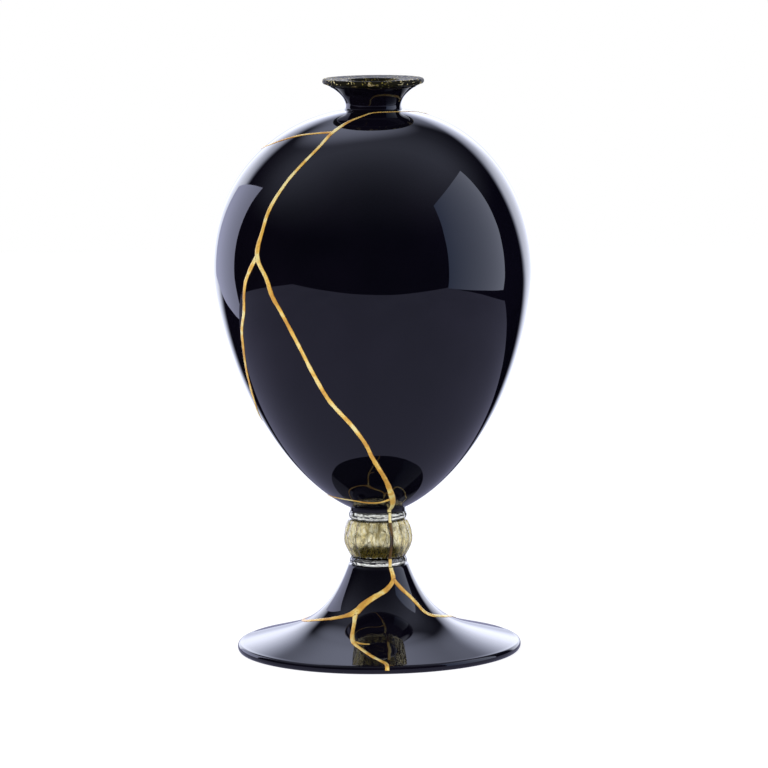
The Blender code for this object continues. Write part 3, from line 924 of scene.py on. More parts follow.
@dataclass
class Lip:
    """The flat ring of the lip, a gather of its own with gold rolled into it."""

    radius: float = 28.2 * MM
    thickness: float = 4.0 * MM
    edge_thickness: float = 3.0 * MM
    dish: float = 0.8 * MM
    neck_radius: float = 24.5 * MM
    mouth_radius: float = 14.0 * MM
    segments: int = 160
    flake_size: float = 0.55 * MM
    flake_density: float = 900000.0
    flake_seed: int = 11
    flake_spins: tuple[Place, Place] = ((0.0, 0.0, -3.14), (0.12, 0.12, 3.14))
    flake_shapes: tuple[Place, Place] = ((0.35, 0.2, 0.06), (1.25, 0.8, 0.14))
    clump_scale: float = 210.0
    leaf_edge: float = 1.3 * MM
    dish_power: float = 1.6

    def outline(self) -> list[Station]:
        """Return the ring's closed outline, from the mouth's lower edge up and over."""
        base = base_of("lip_wrap")
        rounding = self.edge_thickness / 2
        steps = 12
        top = self.thickness - self.dish
        points = [(self.mouth_radius, 0.0)]
        for step in range(steps + 1):
            turn = math.radians(180 - 90 * step / steps)
            points.append((
                self.mouth_radius + rounding + rounding * math.cos(turn),
                top - rounding + rounding * math.sin(turn),
            ))
        middle = self.thickness - self.edge_thickness + rounding
        inner = points[-1]
        outer = (self.radius - rounding, self.thickness)
        for step in range(1, steps):
            share = step / steps
            height = lerp(inner[1], outer[1], share ** self.dish_power)
            points.append((lerp(inner[0], outer[0], share), height))
        for step in range(steps * 2 + 1):
            turn = math.radians(90 - 180 * step / (steps * 2))
            points.append((
                self.radius - rounding + rounding * math.cos(turn),
                middle + rounding * math.sin(turn),
            ))
        points.append((self.neck_radius, 0.0))
        return [(radius, base + height) for radius, height in points]

    def build(self) -> bpy.types.Object:
        """Return the ring."""
        return spin_skin("lip_ring", self.outline(), self.segments, closed=True)

    def scatter(self, material: bpy.types.Material) -> bpy.types.NodeTree:
        """Return the generator that strews torn leaf over the ring's top and edge."""
        tree, given, out = new_group(
            "leaf_flakes", "GeometryNodeTree",
            {
                "Geometry": SocketKind.GEOMETRY, "Density": SocketKind.VALUE,
                "Flake Size": SocketKind.VALUE, "Seed": SocketKind.COUNT,
            },
            {"Geometry": SocketKind.GEOMETRY},
        )
        place = add_node(tree, "GeometryNodeInputPosition").outputs[0]
        clumps = noise(tree, place, self.clump_scale, 3.0)
        height = add_node(tree, "ShaderNodeSeparateXYZ", {0: place}).outputs[2]
        above = arithmetic(tree, "GREATER_THAN", height, base_of("lip_wrap") + self.leaf_edge)
        dense = arithmetic(tree, "MULTIPLY", remap(tree, clumps.outputs["Fac"], 0.42, 0.62), above)
        points = add_node(tree, "GeometryNodeDistributePointsOnFaces", {
            "Mesh": given.outputs["Geometry"], "Seed": given.outputs["Seed"],
            "Density": arithmetic(tree, "MULTIPLY", dense, given.outputs["Density"]),
        })
        flake = add_node(
            tree, "GeometryNodeMeshIcoSphere",
            {"Radius": given.outputs["Flake Size"], "Subdivisions": 1},
        )
        spin, size = (
            add_node(
                tree, "FunctionNodeRandomValue",
                {"Min": least, "Max": most, "Seed": given.outputs["Seed"]},
                data_type="FLOAT_VECTOR",
            )
            for least, most in (self.flake_spins, self.flake_shapes)
        )
        turn = add_node(tree, "FunctionNodeEulerToRotation", {0: spin.outputs[0]})
        turned = add_node(
            tree, "FunctionNodeRotateRotation",
            {"Rotation": points.outputs["Rotation"], "Rotate By": turn.outputs[0]},
            rotation_space="LOCAL",
        )
        strewn = add_node(tree, "GeometryNodeInstanceOnPoints", {
            "Points": points.outputs["Points"], "Instance": flake.outputs["Mesh"],
            "Rotation": turned.outputs[0], "Scale": size.outputs[0],
        })
        real = add_node(tree, "GeometryNodeRealizeInstances", {0: strewn.outputs[0]})
        flat = add_node(
            tree, "GeometryNodeSetShadeSmooth", {0: real.outputs[0], "Shade Smooth": False},
        )
        end_generator(tree, out, flat.outputs[0], material)
        return tree

    def strew(self, ring: bpy.types.Object, material: bpy.types.Material) -> bpy.types.Object:
        """Return the leaf flakes that lie on the ring, as one piece."""
        flakes = bpy.data.objects.new("lip_leaf", ring.data.copy())
        bpy.context.scene.collection.objects.link(flakes)
        return generate(flakes, self.scatter(material), {
            "Density": self.flake_density, "Flake Size": self.flake_size, "Seed": self.flake_seed,
        })


@dataclass
class Collar:
    """One clear collar, a thick disc of glass crimped a little all round."""

    name: str
    node: str
    radius: float
    height: float
    crimps: int
    crimp_depth: float
    twist: float
    segments: int = 240
    rounding: float = 1.9 * MM
    fade_power: float = 4.0
    rings: tuple[float, ...] = (0.25, 0.5, 0.75, 0.9)

    def crimp_tree(self, material: bpy.types.Material) -> bpy.types.NodeTree:
        """Return the generator that presses slanted crimps into the collar's edge."""
        name = "crimped_edge"
        if name in bpy.data.node_groups:
            return bpy.data.node_groups[name]
        tree, given, out = new_group(
            name, "GeometryNodeTree",
            {
                "Geometry": SocketKind.GEOMETRY, "Crimps": SocketKind.VALUE,
                "Depth": SocketKind.VALUE, "Twist": SocketKind.VALUE,
                "Radius": SocketKind.VALUE, "Base": SocketKind.VALUE,
            },
            {"Geometry": SocketKind.GEOMETRY},
        )
        place = add_node(tree, "GeometryNodeInputPosition").outputs[0]
        axes = add_node(tree, "ShaderNodeSeparateXYZ", {0: place}).outputs
        turn = arithmetic(tree, "ARCTAN2", axes[1], axes[0])
        rise = arithmetic(tree, "SUBTRACT", axes[2], given.outputs["Base"])
        slant = arithmetic(tree, "MULTIPLY", rise, given.outputs["Twist"])
        phase = arithmetic(tree, "MULTIPLY_ADD", turn, given.outputs["Crimps"], slant)
        wave = arithmetic(tree, "ABSOLUTE", arithmetic(tree, "SINE", phase))
        pinch = arithmetic(tree, "SUBTRACT", wave, 1.0)
        level = vector_sum(tree, "MULTIPLY", place, (1.0, 1.0, 0.0))
        reach = add_node(tree, "ShaderNodeVectorMath", {0: level}, operation="LENGTH").outputs[1]
        share = arithmetic(tree, "DIVIDE", reach, given.outputs["Radius"])
        edge = arithmetic(tree, "POWER", share, self.fade_power)
        pressed = arithmetic(tree, "MULTIPLY", pinch, given.outputs["Depth"])
        depth = arithmetic(tree, "MULTIPLY", pressed, edge)
        way = vector_sum(tree, "NORMALIZE", level)
        moved = add_node(tree, "GeometryNodeSetPosition", {
            "Geometry": given.outputs["Geometry"], "Offset": vector_sum(tree, "SCALE", way, depth),
        })
        end_generator(tree, out, moved.outputs[0], material)
        return tree

    def build(self, material: bpy.types.Material) -> bpy.types.Object:
        """Return the crimped collar."""
        base, steps = base_of(self.node), 14
        half = self.height / 2
        outline = [(0.0, base + self.height)]
        inner = self.radius - self.rounding
        outline += [(inner * share, base + self.height) for share in self.rings]
        for step in range(steps + 1):
            turn = math.radians(90 - 180 * step / steps)
            outline.append((inner + self.rounding * math.cos(turn), base + half + half * math.sin(turn)))
        outline += [(inner * share, base) for share in reversed(self.rings)]
        outline.append((0.0, base))
        piece = spin_skin(self.name, outline, self.segments)
        piece = generate(piece, self.crimp_tree(material), {
            "Crimps": self.crimps / 2, "Depth": self.crimp_depth, "Twist": self.twist,
            "Radius": self.radius, "Base": base,
        })
        piece.data.shade_smooth()
        return piece


@dataclass
class Knop:
    """The knop: gold leaf on a core, under a skin of clear glass, ribbed like a gourd."""

    height: float = 20.3 * MM
    bottom_radius: float = 15.5 * MM
    top_radius: float = 16.8 * MM
    bulge: float = 3.4 * MM
    rib_depth: float = 0.9 * MM
    ribs: int = 16
    groove_longitude: float = 24.0
    glass_thickness: float = 0.9 * MM
    segments_per_rib: int = 16
    rings: int = 40
    cap_inset: float = 0.4
    irregular: float = 0.12
    stray_scale: float = 70.0
    lobe_power: float = 0.6
    end_power: float = 0.35
    belly_fade: float = 0.30
    # The shares of the knop's height over which the leaf's painted reflection of the dark foot fades out
    # upwards.
    painted_reflection_heights: Station = (0.36, 0.66)
    glass_grooves: float = 1.6
    leaf_grooves: float = 2.4

    def ring_radius(self, share: float) -> float:
        """Return the radius over the ribs, from the bottom at 0 to the top at 1."""
        ends = lerp(self.bottom_radius, self.top_radius, share)
        return ends + self.bulge * math.sin(math.pi * share)

    def groove(self, share: float, longitude: float) -> float:
        """Return how deep the surface lies below the ribs at a place."""
        turn = math.radians(longitude - self.groove_longitude) * self.ribs
        return self.rib_depth * math.sin(math.pi * share) * (1 + math.cos(turn)) / 2

    def rib_tree(self, material: bpy.types.Material) -> bpy.types.NodeTree:
        """Return the generator that draws the skin in between the ribs."""
        name = f"{material.name}_ribs"
        if name in bpy.data.node_groups:
            return bpy.data.node_groups[name]
        tree, given, out = new_group(
            name, "GeometryNodeTree",
            {
                "Geometry": SocketKind.GEOMETRY, "Ribs": SocketKind.VALUE,
                "Depth": SocketKind.VALUE, "Phase": SocketKind.VALUE,
                "Base": SocketKind.VALUE, "Height": SocketKind.VALUE,
                "Irregular": SocketKind.VALUE,
            },
            {"Geometry": SocketKind.GEOMETRY},
        )
        place = add_node(tree, "GeometryNodeInputPosition").outputs[0]
        axes = add_node(tree, "ShaderNodeSeparateXYZ", {0: place}).outputs
        back = arithmetic(tree, "MULTIPLY", axes[1], -1.0)
        longitude = arithmetic(tree, "ARCTAN2", axes[0], back)
        level = vector_sum(tree, "MULTIPLY", place, (1.0, 1.0, 0.0))
        stray = noise(tree, level, self.stray_scale, 1.0)
        centred = arithmetic(tree, "SUBTRACT", stray.outputs["Fac"], 0.5)
        strayed = arithmetic(tree, "MULTIPLY", centred, given.outputs["Irregular"])
        phased = arithmetic(tree, "SUBTRACT", longitude, given.outputs["Phase"])
        angle = arithmetic(tree, "ADD", phased, strayed)
        turns = arithmetic(tree, "MULTIPLY", angle, given.outputs["Ribs"])
        lobe = arithmetic(tree, "SINE", arithmetic(tree, "MULTIPLY", turns, 0.5))
        lobe = arithmetic(tree, "POWER", arithmetic(tree, "ABSOLUTE", lobe), self.lobe_power)
        above = arithmetic(tree, "SUBTRACT", axes[2], given.outputs["Base"])
        rise = arithmetic(tree, "DIVIDE", above, given.outputs["Height"])
        belly = arithmetic(tree, "SINE", arithmetic(tree, "MULTIPLY", rise, math.pi))
        ends = arithmetic(tree, "POWER", arithmetic(tree, "MAXIMUM", belly, 0.0), self.end_power)
        faded = remap(tree, belly, 0.55, 1.0, 1.0, self.belly_fade)
        fade = arithmetic(tree, "MULTIPLY", ends, faded)
        hollow = arithmetic(tree, "SUBTRACT", lobe, 1.0)
        depth = arithmetic(tree, "MULTIPLY", hollow, given.outputs["Depth"])
        way = vector_sum(tree, "NORMALIZE", level)
        offset = vector_sum(tree, "SCALE", way, arithmetic(tree, "MULTIPLY", depth, fade))
        moved = add_node(tree, "GeometryNodeSetPosition", {
            "Geometry": given.outputs["Geometry"], "Offset": offset,
        })
        end_generator(tree, out, moved.outputs[0], material)
        return tree

    def skin(
        self, name: str, inset: float, depth: float, material: bpy.types.Material,
    ) -> bpy.types.Object:
        """Return one ribbed skin of the knop.

        Args:
            name: The piece's name.
            inset: How far it lies inside the knop's outside.
            depth: How deep its grooves are.
            material: Its finish.

        Returns:
            The skin as a closed piece.
        """
        base = base_of("knop")
        low = base + inset * self.cap_inset
        high = base + self.height - inset * self.cap_inset
        outline = [(0.0, high)]
        for ring in range(self.rings + 1):
            share = 1 - ring / self.rings
            outline.append((self.ring_radius(share) - inset, lerp(low, high, share)))
        outline.append((0.0, low))
        piece = spin_skin(name, outline, self.ribs * self.segments_per_rib)
        piece = generate(piece, self.rib_tree(material), {
            "Ribs": self.ribs, "Depth": depth, "Phase": math.radians(self.groove_longitude),
            "Base": base, "Height": self.height, "Irregular": self.irregular,
        })
        dress(piece, material)
        return piece


@dataclass
class StemLine:
    """The line up the two collars and one groove of the knop, where the seam runs."""

    knop: Knop
    lower_radius: float
    upper_radius: float
    nudge: float = 0.02
    width_share: float = 0.67
    collar_spans: tuple[Station, ...] = ((0.0, 0.17), (0.82, 1.0))
    groove_span: Station = (0.15, 0.84)
    collar_steps: int = 5
    groove_steps: int = 20

    def collar_courses(self) -> list[list[CoursePoint]]:
        """Return the courses over the two collars."""
        return [self.course(*span, self.collar_steps) for span in self.collar_spans]

    def groove_course(self) -> list[CoursePoint]:
        """Return the course in the knop's groove."""
        return self.course(*self.groove_span, self.groove_steps)

    def course(self, start: float, end: float, steps: int) -> list[CoursePoint]:
        """Return the course straight up the line between two places."""
        places = [lerp(start, end, step / steps) for step in range(steps + 1)]
        return [(self.knop.groove_longitude, place, self.width_share) for place in places]

    def outline(self, place: float) -> Station:
        """Return the radius and height at a place, collar's bottom 0 to top 1."""
        low, high = base_of("lower_collar"), span_of("upper_collar")[1]
        height = lerp(low, high, place)
        if height < base_of("knop"):
            return self.lower_radius, height
        if height > base_of("upper_collar"):
            return self.upper_radius, height
        share = min((height - base_of("knop")) / self.knop.height, 1.0)
        groove = self.knop.groove(share, self.knop.groove_longitude)
        return self.knop.ring_radius(share) - groove, height

    def point(self, longitude: float, place: float) -> Vector:
        """Return the point at a longitude and a place."""
        radius, height = self.outline(place)
        turn = math.radians(longitude)
        return Vector((radius * math.sin(turn), -radius * math.cos(turn), height))


@dataclass
class Seam:
    """A seam of gold along courses on one surface, its branches fused to its trunk."""

    name: str
    surface: Surface
    courses: list[list[CoursePoint]]
    width: float = 2.7 * MM
    rise_share: float = 0.36
    step: float = 0.9 * MM
    sides: int = 14
    wander: float = 0.12 * MM
    grain: float = 0.04 * MM
    drift_scale: float = 120.0
    swell_scale: float = 180.0
    swell: Station = (0.92, 1.10)
    lump_scale: float = 1100.0

    def smooth(self, points: list[CoursePoint]) -> list[list[float]]:
        """Return a course's points with more between them, on a curve through all."""
        first = [2 * a - b for a, b in zip(points[0], points[1])]
        last = [2 * a - b for a, b in zip(points[-1], points[-2])]
        padded = [first, *points, last]
        course = []
        for before, start, end, after in zip(padded, padded[1:], padded[2:], padded[3:]):
            chord = self.surface.point(*end[:2]) - self.surface.point(*start[:2])
            steps = max(1, round(chord.length / self.step))
            for step in range(steps):
                t = step / steps
                course.append([
                    b + t / 2 * (c - a + t * (2 * a - 5 * b + 4 * c - d + t * (3 * (b - c) - a + d)))
                    for a, b, c, d in zip(before, start, end, after)
                ])
        return course + [list(points[-1])]

    def outward(self, longitude: float, place: float) -> Vector:
        """Return the way out of the surface at a place."""
        nudge = self.surface.nudge
        point = self.surface.point
        east = point(longitude + 1, place) - point(longitude - 1, place)
        up = point(longitude, place + nudge) - point(longitude, place - nudge)
        return east.cross(up).normalized()

    def rail(self, name: str, points: list[CoursePoint]) -> bpy.types.Object:
        """Return a course as a line on the surface, with its width and its way out."""
        course = self.smooth(points)
        centres = [self.surface.point(longitude, place) for longitude, place, _ in course]
        mesh = bpy.data.meshes.new(name)
        mesh.from_pydata(centres, [(i, i + 1) for i in range(len(centres) - 1)], [])
        half = mesh.attributes.new("half_width", "FLOAT", "POINT")
        way = mesh.attributes.new("outward", "FLOAT_VECTOR", "POINT")
        for index, (longitude, place, share) in enumerate(course):
            half.data[index].value = self.width * share / 2
            way.data[index].vector = self.outward(longitude, place)
        line = bpy.data.objects.new(name, mesh)
        bpy.context.scene.collection.objects.link(line)
        return line

    def sweep_tree(self, material: bpy.types.Material) -> bpy.types.NodeTree:
        """Return the generator that sweeps a low mound of gold along a rail."""
        name = f"{material.name}_sweep"
        if name in bpy.data.node_groups:
            return bpy.data.node_groups[name]
        tree, given, out = new_group(
            name, "GeometryNodeTree",
            {
                "Geometry": SocketKind.GEOMETRY, "Sides": SocketKind.COUNT,
                "Rise": SocketKind.VALUE, "Wander": SocketKind.VALUE,
                "Grain": SocketKind.VALUE,
            },
            {"Geometry": SocketKind.GEOMETRY},
        )
        half = add_node(tree, "GeometryNodeInputNamedAttribute", {0: "half_width"})
        way = add_node(
            tree, "GeometryNodeInputNamedAttribute", {0: "outward"}, data_type="FLOAT_VECTOR",
        )
        place = add_node(tree, "GeometryNodeInputPosition").outputs[0]
        curve = add_node(tree, "GeometryNodeMeshToCurve", {0: given.outputs["Geometry"]})
        facing = add_node(
            tree, "GeometryNodeSetCurveNormal", {0: curve.outputs[0], "Normal": way.outputs[0]},
            mode="FREE",
        )
        drift = noise(tree, place, self.drift_scale, 2.0)
        centred = vector_sum(tree, "SUBTRACT", drift.outputs["Color"], (0.5, 0.5, 0.5))
        swing = vector_sum(tree, "SCALE", centred, given.outputs["Wander"])
        wandered = add_node(
            tree, "GeometryNodeSetPosition", {0: facing.outputs[0], "Offset": swing},
        )
        swell = noise(tree, place, self.swell_scale, 2.0)
        share = remap(tree, swell.outputs["Fac"], 0.3, 0.7, *self.swell)
        width = arithmetic(tree, "MULTIPLY", half.outputs[0], share)
        ring = add_node(
            tree, "GeometryNodeCurvePrimitiveCircle",
            {"Resolution": given.outputs["Sides"], "Radius": 1.0},
        )
        side = add_node(tree, "ShaderNodeSeparateXYZ", {0: place}).outputs[0]
        marked = add_node(tree, "GeometryNodeStoreNamedAttribute", {
            "Geometry": ring.outputs[0], "Name": "crown", "Value": arithmetic(tree, "ABSOLUTE", side),
        })
        squash = add_node(tree, "ShaderNodeCombineXYZ", {0: given.outputs["Rise"], 1: 1.0, 2: 1.0})
        low = add_node(tree, "GeometryNodeTransform", {
            0: marked.outputs[0], "Scale": squash.outputs[0],
        })
        swept = add_node(tree, "GeometryNodeCurveToMesh", {
            "Curve": wandered.outputs[0], "Profile Curve": low.outputs[0],
            "Scale": width, "Fill Caps": True,
        })
        lumps = noise(tree, place, self.lump_scale, 3.0)
        normal = add_node(tree, "GeometryNodeInputNormal").outputs[0]
        rough = arithmetic(tree, "SUBTRACT", lumps.outputs["Fac"], 0.5)
        lift = arithmetic(tree, "MULTIPLY", rough, given.outputs["Grain"])
        grained = add_node(tree, "GeometryNodeSetPosition", {
            0: swept.outputs[0], "Offset": vector_sum(tree, "SCALE", normal, lift),
        })
        end_generator(tree, out, grained.outputs[0], material)
        return tree

    def build(self, material: bpy.types.Material) -> bpy.types.Object:
        """Return the seam as one piece."""
        tree = self.sweep_tree(material)
        values = {
            "Sides": self.sides, "Rise": self.rise_share, "Wander": self.wander,
            "Grain": self.grain,
        }
        lines = []
        for index, points in enumerate(self.courses):
            line = self.rail(f"{self.name}_{index}", points)
            lines.append(generate(line, tree, values))
        trunk, *branches = lines
        for branch in branches:
            fuse = trunk.modifiers.new(branch.name, "BOOLEAN")
            fuse.operation = "UNION"
            fuse.solver = "MANIFOLD"
            fuse.object = branch
        settle(trunk)
        for branch in branches:
            bpy.data.objects.remove(branch)
        trunk.name = self.name
        trunk.data.shade_smooth()
        dress(trunk, material)
        return trunk


@dataclass
class Softbox:
    """A flat soft light, seen only in reflections and by what it lights."""

    name: str
    corners: tuple[Place, ...]
    near_light: Colour
    far_light: Colour

    def build(self) -> bpy.types.Object:
        """Return the panel between its near bottom, far bottom, far top and near top corner."""
        mesh = bpy.data.meshes.new(self.name)
        mesh.from_pydata(self.corners, [], [(0, 1, 2, 3)])
        uv = mesh.uv_layers.new(name="panel")
        for loop, place in enumerate(((0, 0), (1, 0), (1, 1), (0, 1))):
            uv.data[loop].uv = place
        panel = bpy.data.objects.new(self.name, mesh)
        bpy.context.scene.collection.objects.link(panel)
        panel.visible_camera = False
        panel.visible_transmission = False
        panel.visible_shadow = False
        mesh.materials.append(self.cloth())
        return panel

    def cloth(self) -> bpy.types.Material:
        """Return the lit cloth, whose light changes from its near to its far edge."""
        material = bpy.data.materials.new(self.name)
        material.use_nodes = True
        tree = material.node_tree
        tree.nodes.clear()
        uv = add_node(tree, "ShaderNodeTexCoord").outputs["UV"]
        across = add_node(tree, "ShaderNodeSeparateXYZ", {0: uv}).outputs[0]
        light = mix_colours(tree, across, self.near_light, self.far_light)
        lamp = add_node(tree, "ShaderNodeEmission", {"Color": light, "Strength": 1.0})
        out = add_node(tree, "ShaderNodeOutputMaterial")
        tree.links.new(lamp.outputs[0], out.inputs["Surface"])
        return material


@dataclass(frozen=True)
class LightPatch:
    """A soft round patch of light in the room, by the cosines where it begins and is full."""

    centre: Place
    edge: float
    middle: float
    level: float

    def light(self, tree: bpy.types.NodeTree, way: bpy.types.NodeSocket) -> bpy.types.NodeSocket:
        """Return the patch's light in the direction looked at."""
        spot = add_node(tree, "ShaderNodeVectorMath", {0: way, 1: self.centre}, operation="DOT_PRODUCT")
        return remap(tree, spot.outputs["Value"], self.edge, self.middle, 0.0, self.level)


@dataclass(frozen=True)
class Backdrop:
    """The white backdrop: how bright it is, and in which directions it shows."""

    level: float = 2.3
    rise_pull: float = 0.12
    side_pull: float = 0.38
    reach: Station = (0.970, 1.03)
    straight: Station = (0.955, 0.988)
    behind: Station = (0.965, 0.997)
    low_rise: Station = (0.02, 0.20)
    low_level: float = 0.5
    high_rise: Station = (0.22, 0.42)
    high_level: float = 0.6

    def mask(
        self, tree: bpy.types.NodeTree, axes: bpy.types.bpy_prop_collection,
    ) -> bpy.types.NodeSocket:
        """Return where the backdrop shows, which ends sharply.

        Args:
            tree: The world's tree.
            axes: The three parts of the direction looked at.

        Returns:
            The output socket of the mask.
        """
        aside = arithmetic(tree, "ABSOLUTE", axes[0])
        reach = arithmetic(tree, "MULTIPLY_ADD", axes[2], self.rise_pull, axes[1])
        reach = arithmetic(tree, "MULTIPLY_ADD", aside, self.side_pull, reach)
        wide = arithmetic(
            tree, "MAXIMUM", remap(tree, reach, *self.reach), remap(tree, axes[1], *self.straight),
        )
        level = remap(tree, axes[2], *self.low_rise, self.low_level, 1.0)
        behind = remap(tree, axes[1], *self.behind)
        dimmed = add_node(tree, "ShaderNodeMix", {0: behind, 2: 1.0, 3: level}).outputs[0]
        high = remap(tree, axes[2], *self.high_rise, 1.0, self.high_level)
        return arithmetic(tree, "MULTIPLY", wide, arithmetic(tree, "MULTIPLY", dimmed, high))


@dataclass
class Studio:
    """The camera, the white floor, the pale table and the soft lights round the vase."""

    distance: float = 2.6
    camera_height: float = 0.49
    aim: Station = (0.0042, 0.1493)
    lens: float = 220.6
    roll: float = 0.0107
    sensor_width: float = 36.0
    sight: float = 50.0
    floor_span: Station = (-0.99, 1.05)
    floor_depth: Station = (-0.95, 2.2)
    table_corners: tuple[Station, ...] = ((-1.75, -1.1), (1.17, -0.86), (0.82, 0.26), (-0.9, 0.28))
    softboxes: tuple[Softbox, ...] = (
        Softbox(
            "right_softbox",
            ((1.1, -0.80, 0.0), (1.1, 0.30, 0.0), (1.1, 0.42, 1.28), (1.1, -0.714, 1.28)),
            (0.50, 0.64, 1.05), (1.62, 1.74, 2.22),
        ),
        Softbox(
            "left_softbox",
            ((-0.73, 0.28, -0.07), (-1.2, 2.1, -0.07), (-1.2, 2.1, 0.72), (-0.76, 0.34, 0.73)),
            (1.75, 1.82, 2.5), (0.95, 0.98, 1.42),
        ),
    )
    backdrop: Backdrop = Backdrop()
    ceiling_patch: LightPatch = LightPatch((-0.10, 0.60, 0.79), 0.92, 1.0, 1.2)
    wall_patch: LightPatch = LightPatch((0.05, 0.91, 0.41), 0.93, 0.99, 0.66)
    room_tint: Colour = (0.89, 0.95, 1.26)
    backdrop_tint: Colour = (0.96, 1.0, 1.18)
    ceiling_edges: Station = (0.3, 0.85)
    ceiling_levels: tuple[Station, ...] = (
        (0.0, 0.02), (0.08, 0.07), (0.21, 0.13), (0.30, 0.23), (0.41, 0.36), (0.49, 0.46),
        (0.58, 0.52), (0.65, 0.44), (0.77, 0.19), (0.86, 0.08), (1.0, 0.08),
    )
    floor_glow: Colour = (0.88, 0.88, 0.88)
    floor_matt: Colour = (0.30, 0.30, 0.30)
    table_tints: tuple[Colour, Colour] = ((0.33, 0.335, 0.50), (0.37, 0.375, 0.56))
    fill_size: Station = (1.2, 0.9)
    fill_energy: float = 26.0
    fill_colour: Colour = (1.0, 0.96, 0.9)
    fill_place: Place = (-0.5, -1.6, 0.9)
    fill_target: Place = (0.0, 0.0, 0.16)

    def build(self) -> None:
        """Set up the camera, the world, the floor, the table and the lights."""
        self.place_camera()
        self.light_world()
        self.lay_floor()
        self.lay_table()
        for panel in self.softboxes:
            panel.build()
        self.add_fill()
        bpy.context.scene.view_settings.view_transform = "Standard"
        log.info("studio: camera %.2f m away, two softboxes", self.distance)

    def place_camera(self) -> None:
        """Stand the camera in front, a little above, and aim it at the vase."""
        data = bpy.data.cameras.new("view")
        data.lens = self.lens
        data.sensor_width = self.sensor_width
        data.clip_end = self.sight
        camera = bpy.data.objects.new("view", data)
        bpy.context.scene.collection.objects.link(camera)
        place = Vector((0.0, -self.distance, self.camera_height))
        target = Vector((self.aim[0], 0.0, self.aim[1]))
        turn = (target - place).to_track_quat("-Z", "Y").to_matrix().to_4x4()
        roll = Matrix.Rotation(-self.roll, 4, "Z")
        camera.matrix_world = Matrix.Translation(place) @ turn @ roll
        bpy.context.scene.camera = camera

    def light_world(self) -> None:
        """Light the room: a white backdrop, a soft ceiling and a dark front."""
        world = bpy.data.worlds.new("studio_room")
        bpy.context.scene.world = world
        world.use_nodes = True
        tree = world.node_tree
        tree.nodes.clear()
        way = add_node(tree, "ShaderNodeTexCoord").outputs["Generated"]
        axes = add_node(tree, "ShaderNodeSeparateXYZ", {0: way}).outputs
        backdrop = self.backdrop.mask(tree, axes)
        patches = arithmetic(
            tree, "ADD", self.ceiling_patch.light(tree, way), self.wall_patch.light(tree, way),
        )
        ceiling = arithmetic(tree, "ADD", self.ceiling_glow(tree, axes), patches)
        level = arithmetic(tree, "MULTIPLY_ADD", backdrop, self.backdrop.level, ceiling)
        tint = mix_colours(tree, backdrop, self.room_tint, self.backdrop_tint)
        room = add_node(tree, "ShaderNodeBackground", {
            "Color": vector_sum(tree, "SCALE", tint, level), "Strength": 1.0,
        })
        white = add_node(
            tree, "ShaderNodeBackground", {"Color": (1.0, 1.0, 1.0, 1.0), "Strength": 1.0},
        )
        path = add_node(tree, "ShaderNodeLightPath").outputs
        straight = arithmetic(tree, "MAXIMUM", path["Is Camera Ray"], path["Is Transmission Ray"])
        mixed = add_node(
            tree, "ShaderNodeMixShader", {0: straight, 1: room.outputs[0], 2: white.outputs[0]},
        )
        out = add_node(tree, "ShaderNodeOutputWorld")
        tree.links.new(mixed.outputs[0], out.inputs["Surface"])

    def ceiling_glow(
        self, tree: bpy.types.NodeTree, axes: bpy.types.bpy_prop_collection,
    ) -> bpy.types.NodeSocket:
        """Return the light of the ceiling, brightest a little behind the vase."""
        depth = arithmetic(tree, "MULTIPLY_ADD", axes[1], 0.5, 0.5)
        ramp = add_node(tree, "ShaderNodeValToRGB", {0: depth})
        while len(ramp.color_ramp.elements) < len(self.ceiling_levels):
            ramp.color_ramp.elements.new(1.0)
        for element, (place, level) in zip(ramp.color_ramp.elements, self.ceiling_levels):
            element.position = place
            element.color = (level, level, level, 1.0)
        return arithmetic(tree, "MULTIPLY", ramp.outputs[0], remap(tree, axes[2], *self.ceiling_edges))

    def lay_floor(self) -> None:
        """Lay the white floor that the camera sees round the foot."""
        left, right = self.floor_span
        front, back = self.floor_depth
        floor = self.lay_sheet("floor", ((left, front), (right, front), (right, back), (left, back)))
        floor.visible_glossy = False
        floor.data.materials.append(self.floor_finish())

    def lay_table(self) -> None:
        """Lay the pale table top, whose edges show in the glass."""
        table = self.lay_sheet("table", self.table_corners)
        table.visible_camera = False
        table.visible_transmission = False
        table.visible_diffuse = False
        table.visible_shadow = False
        table.data.materials.append(self.table_finish())

    def lay_sheet(self, name: str, corners: tuple[Station, ...]) -> bpy.types.Object:
        """Return a flat sheet on the ground between its corners, as stage."""
        mesh = bpy.data.meshes.new(name)
        mesh.from_pydata([(x, y, 0.0) for x, y in corners], [], [(0, 1, 2, 3)])
        sheet = bpy.data.objects.new(name, mesh)
        bpy.context.scene.collection.objects.link(sheet)
        return sheet

    def floor_finish(self) -> bpy.types.Material:
        """Return the floor's finish, which glows almost white under the light."""
        material, tree = self.bare_material("white_floor")
        glow = add_node(
            tree, "ShaderNodeEmission", {"Color": (*self.floor_glow, 1.0), "Strength": 1.0},
        )
        matt = add_node(tree, "ShaderNodeBsdfDiffuse", {"Color": (*self.floor_matt, 1.0)})
        lit = add_node(tree, "ShaderNodeAddShader", {0: glow.outputs[0], 1: matt.outputs[0]})
        out = add_node(tree, "ShaderNodeOutputMaterial")
        tree.links.new(lit.outputs[0], out.inputs["Surface"])
        return material

    def table_finish(self) -> bpy.types.Material:
        """Return the table's finish, faintly clouded."""
        material, tree = self.bare_material("pale_table")
        place = add_node(tree, "ShaderNodeTexCoord").outputs["Object"]
        cloud = noise(tree, place, 3.0, 2.0)
        share = remap(tree, cloud.outputs["Fac"], 0.3, 0.7)
        shine = mix_colours(tree, share, *self.table_tints)
        seen = add_node(tree, "ShaderNodeEmission", {"Color": shine, "Strength": 1.0})
        out = add_node(tree, "ShaderNodeOutputMaterial")
        tree.links.new(seen.outputs[0], out.inputs["Surface"])
        return material

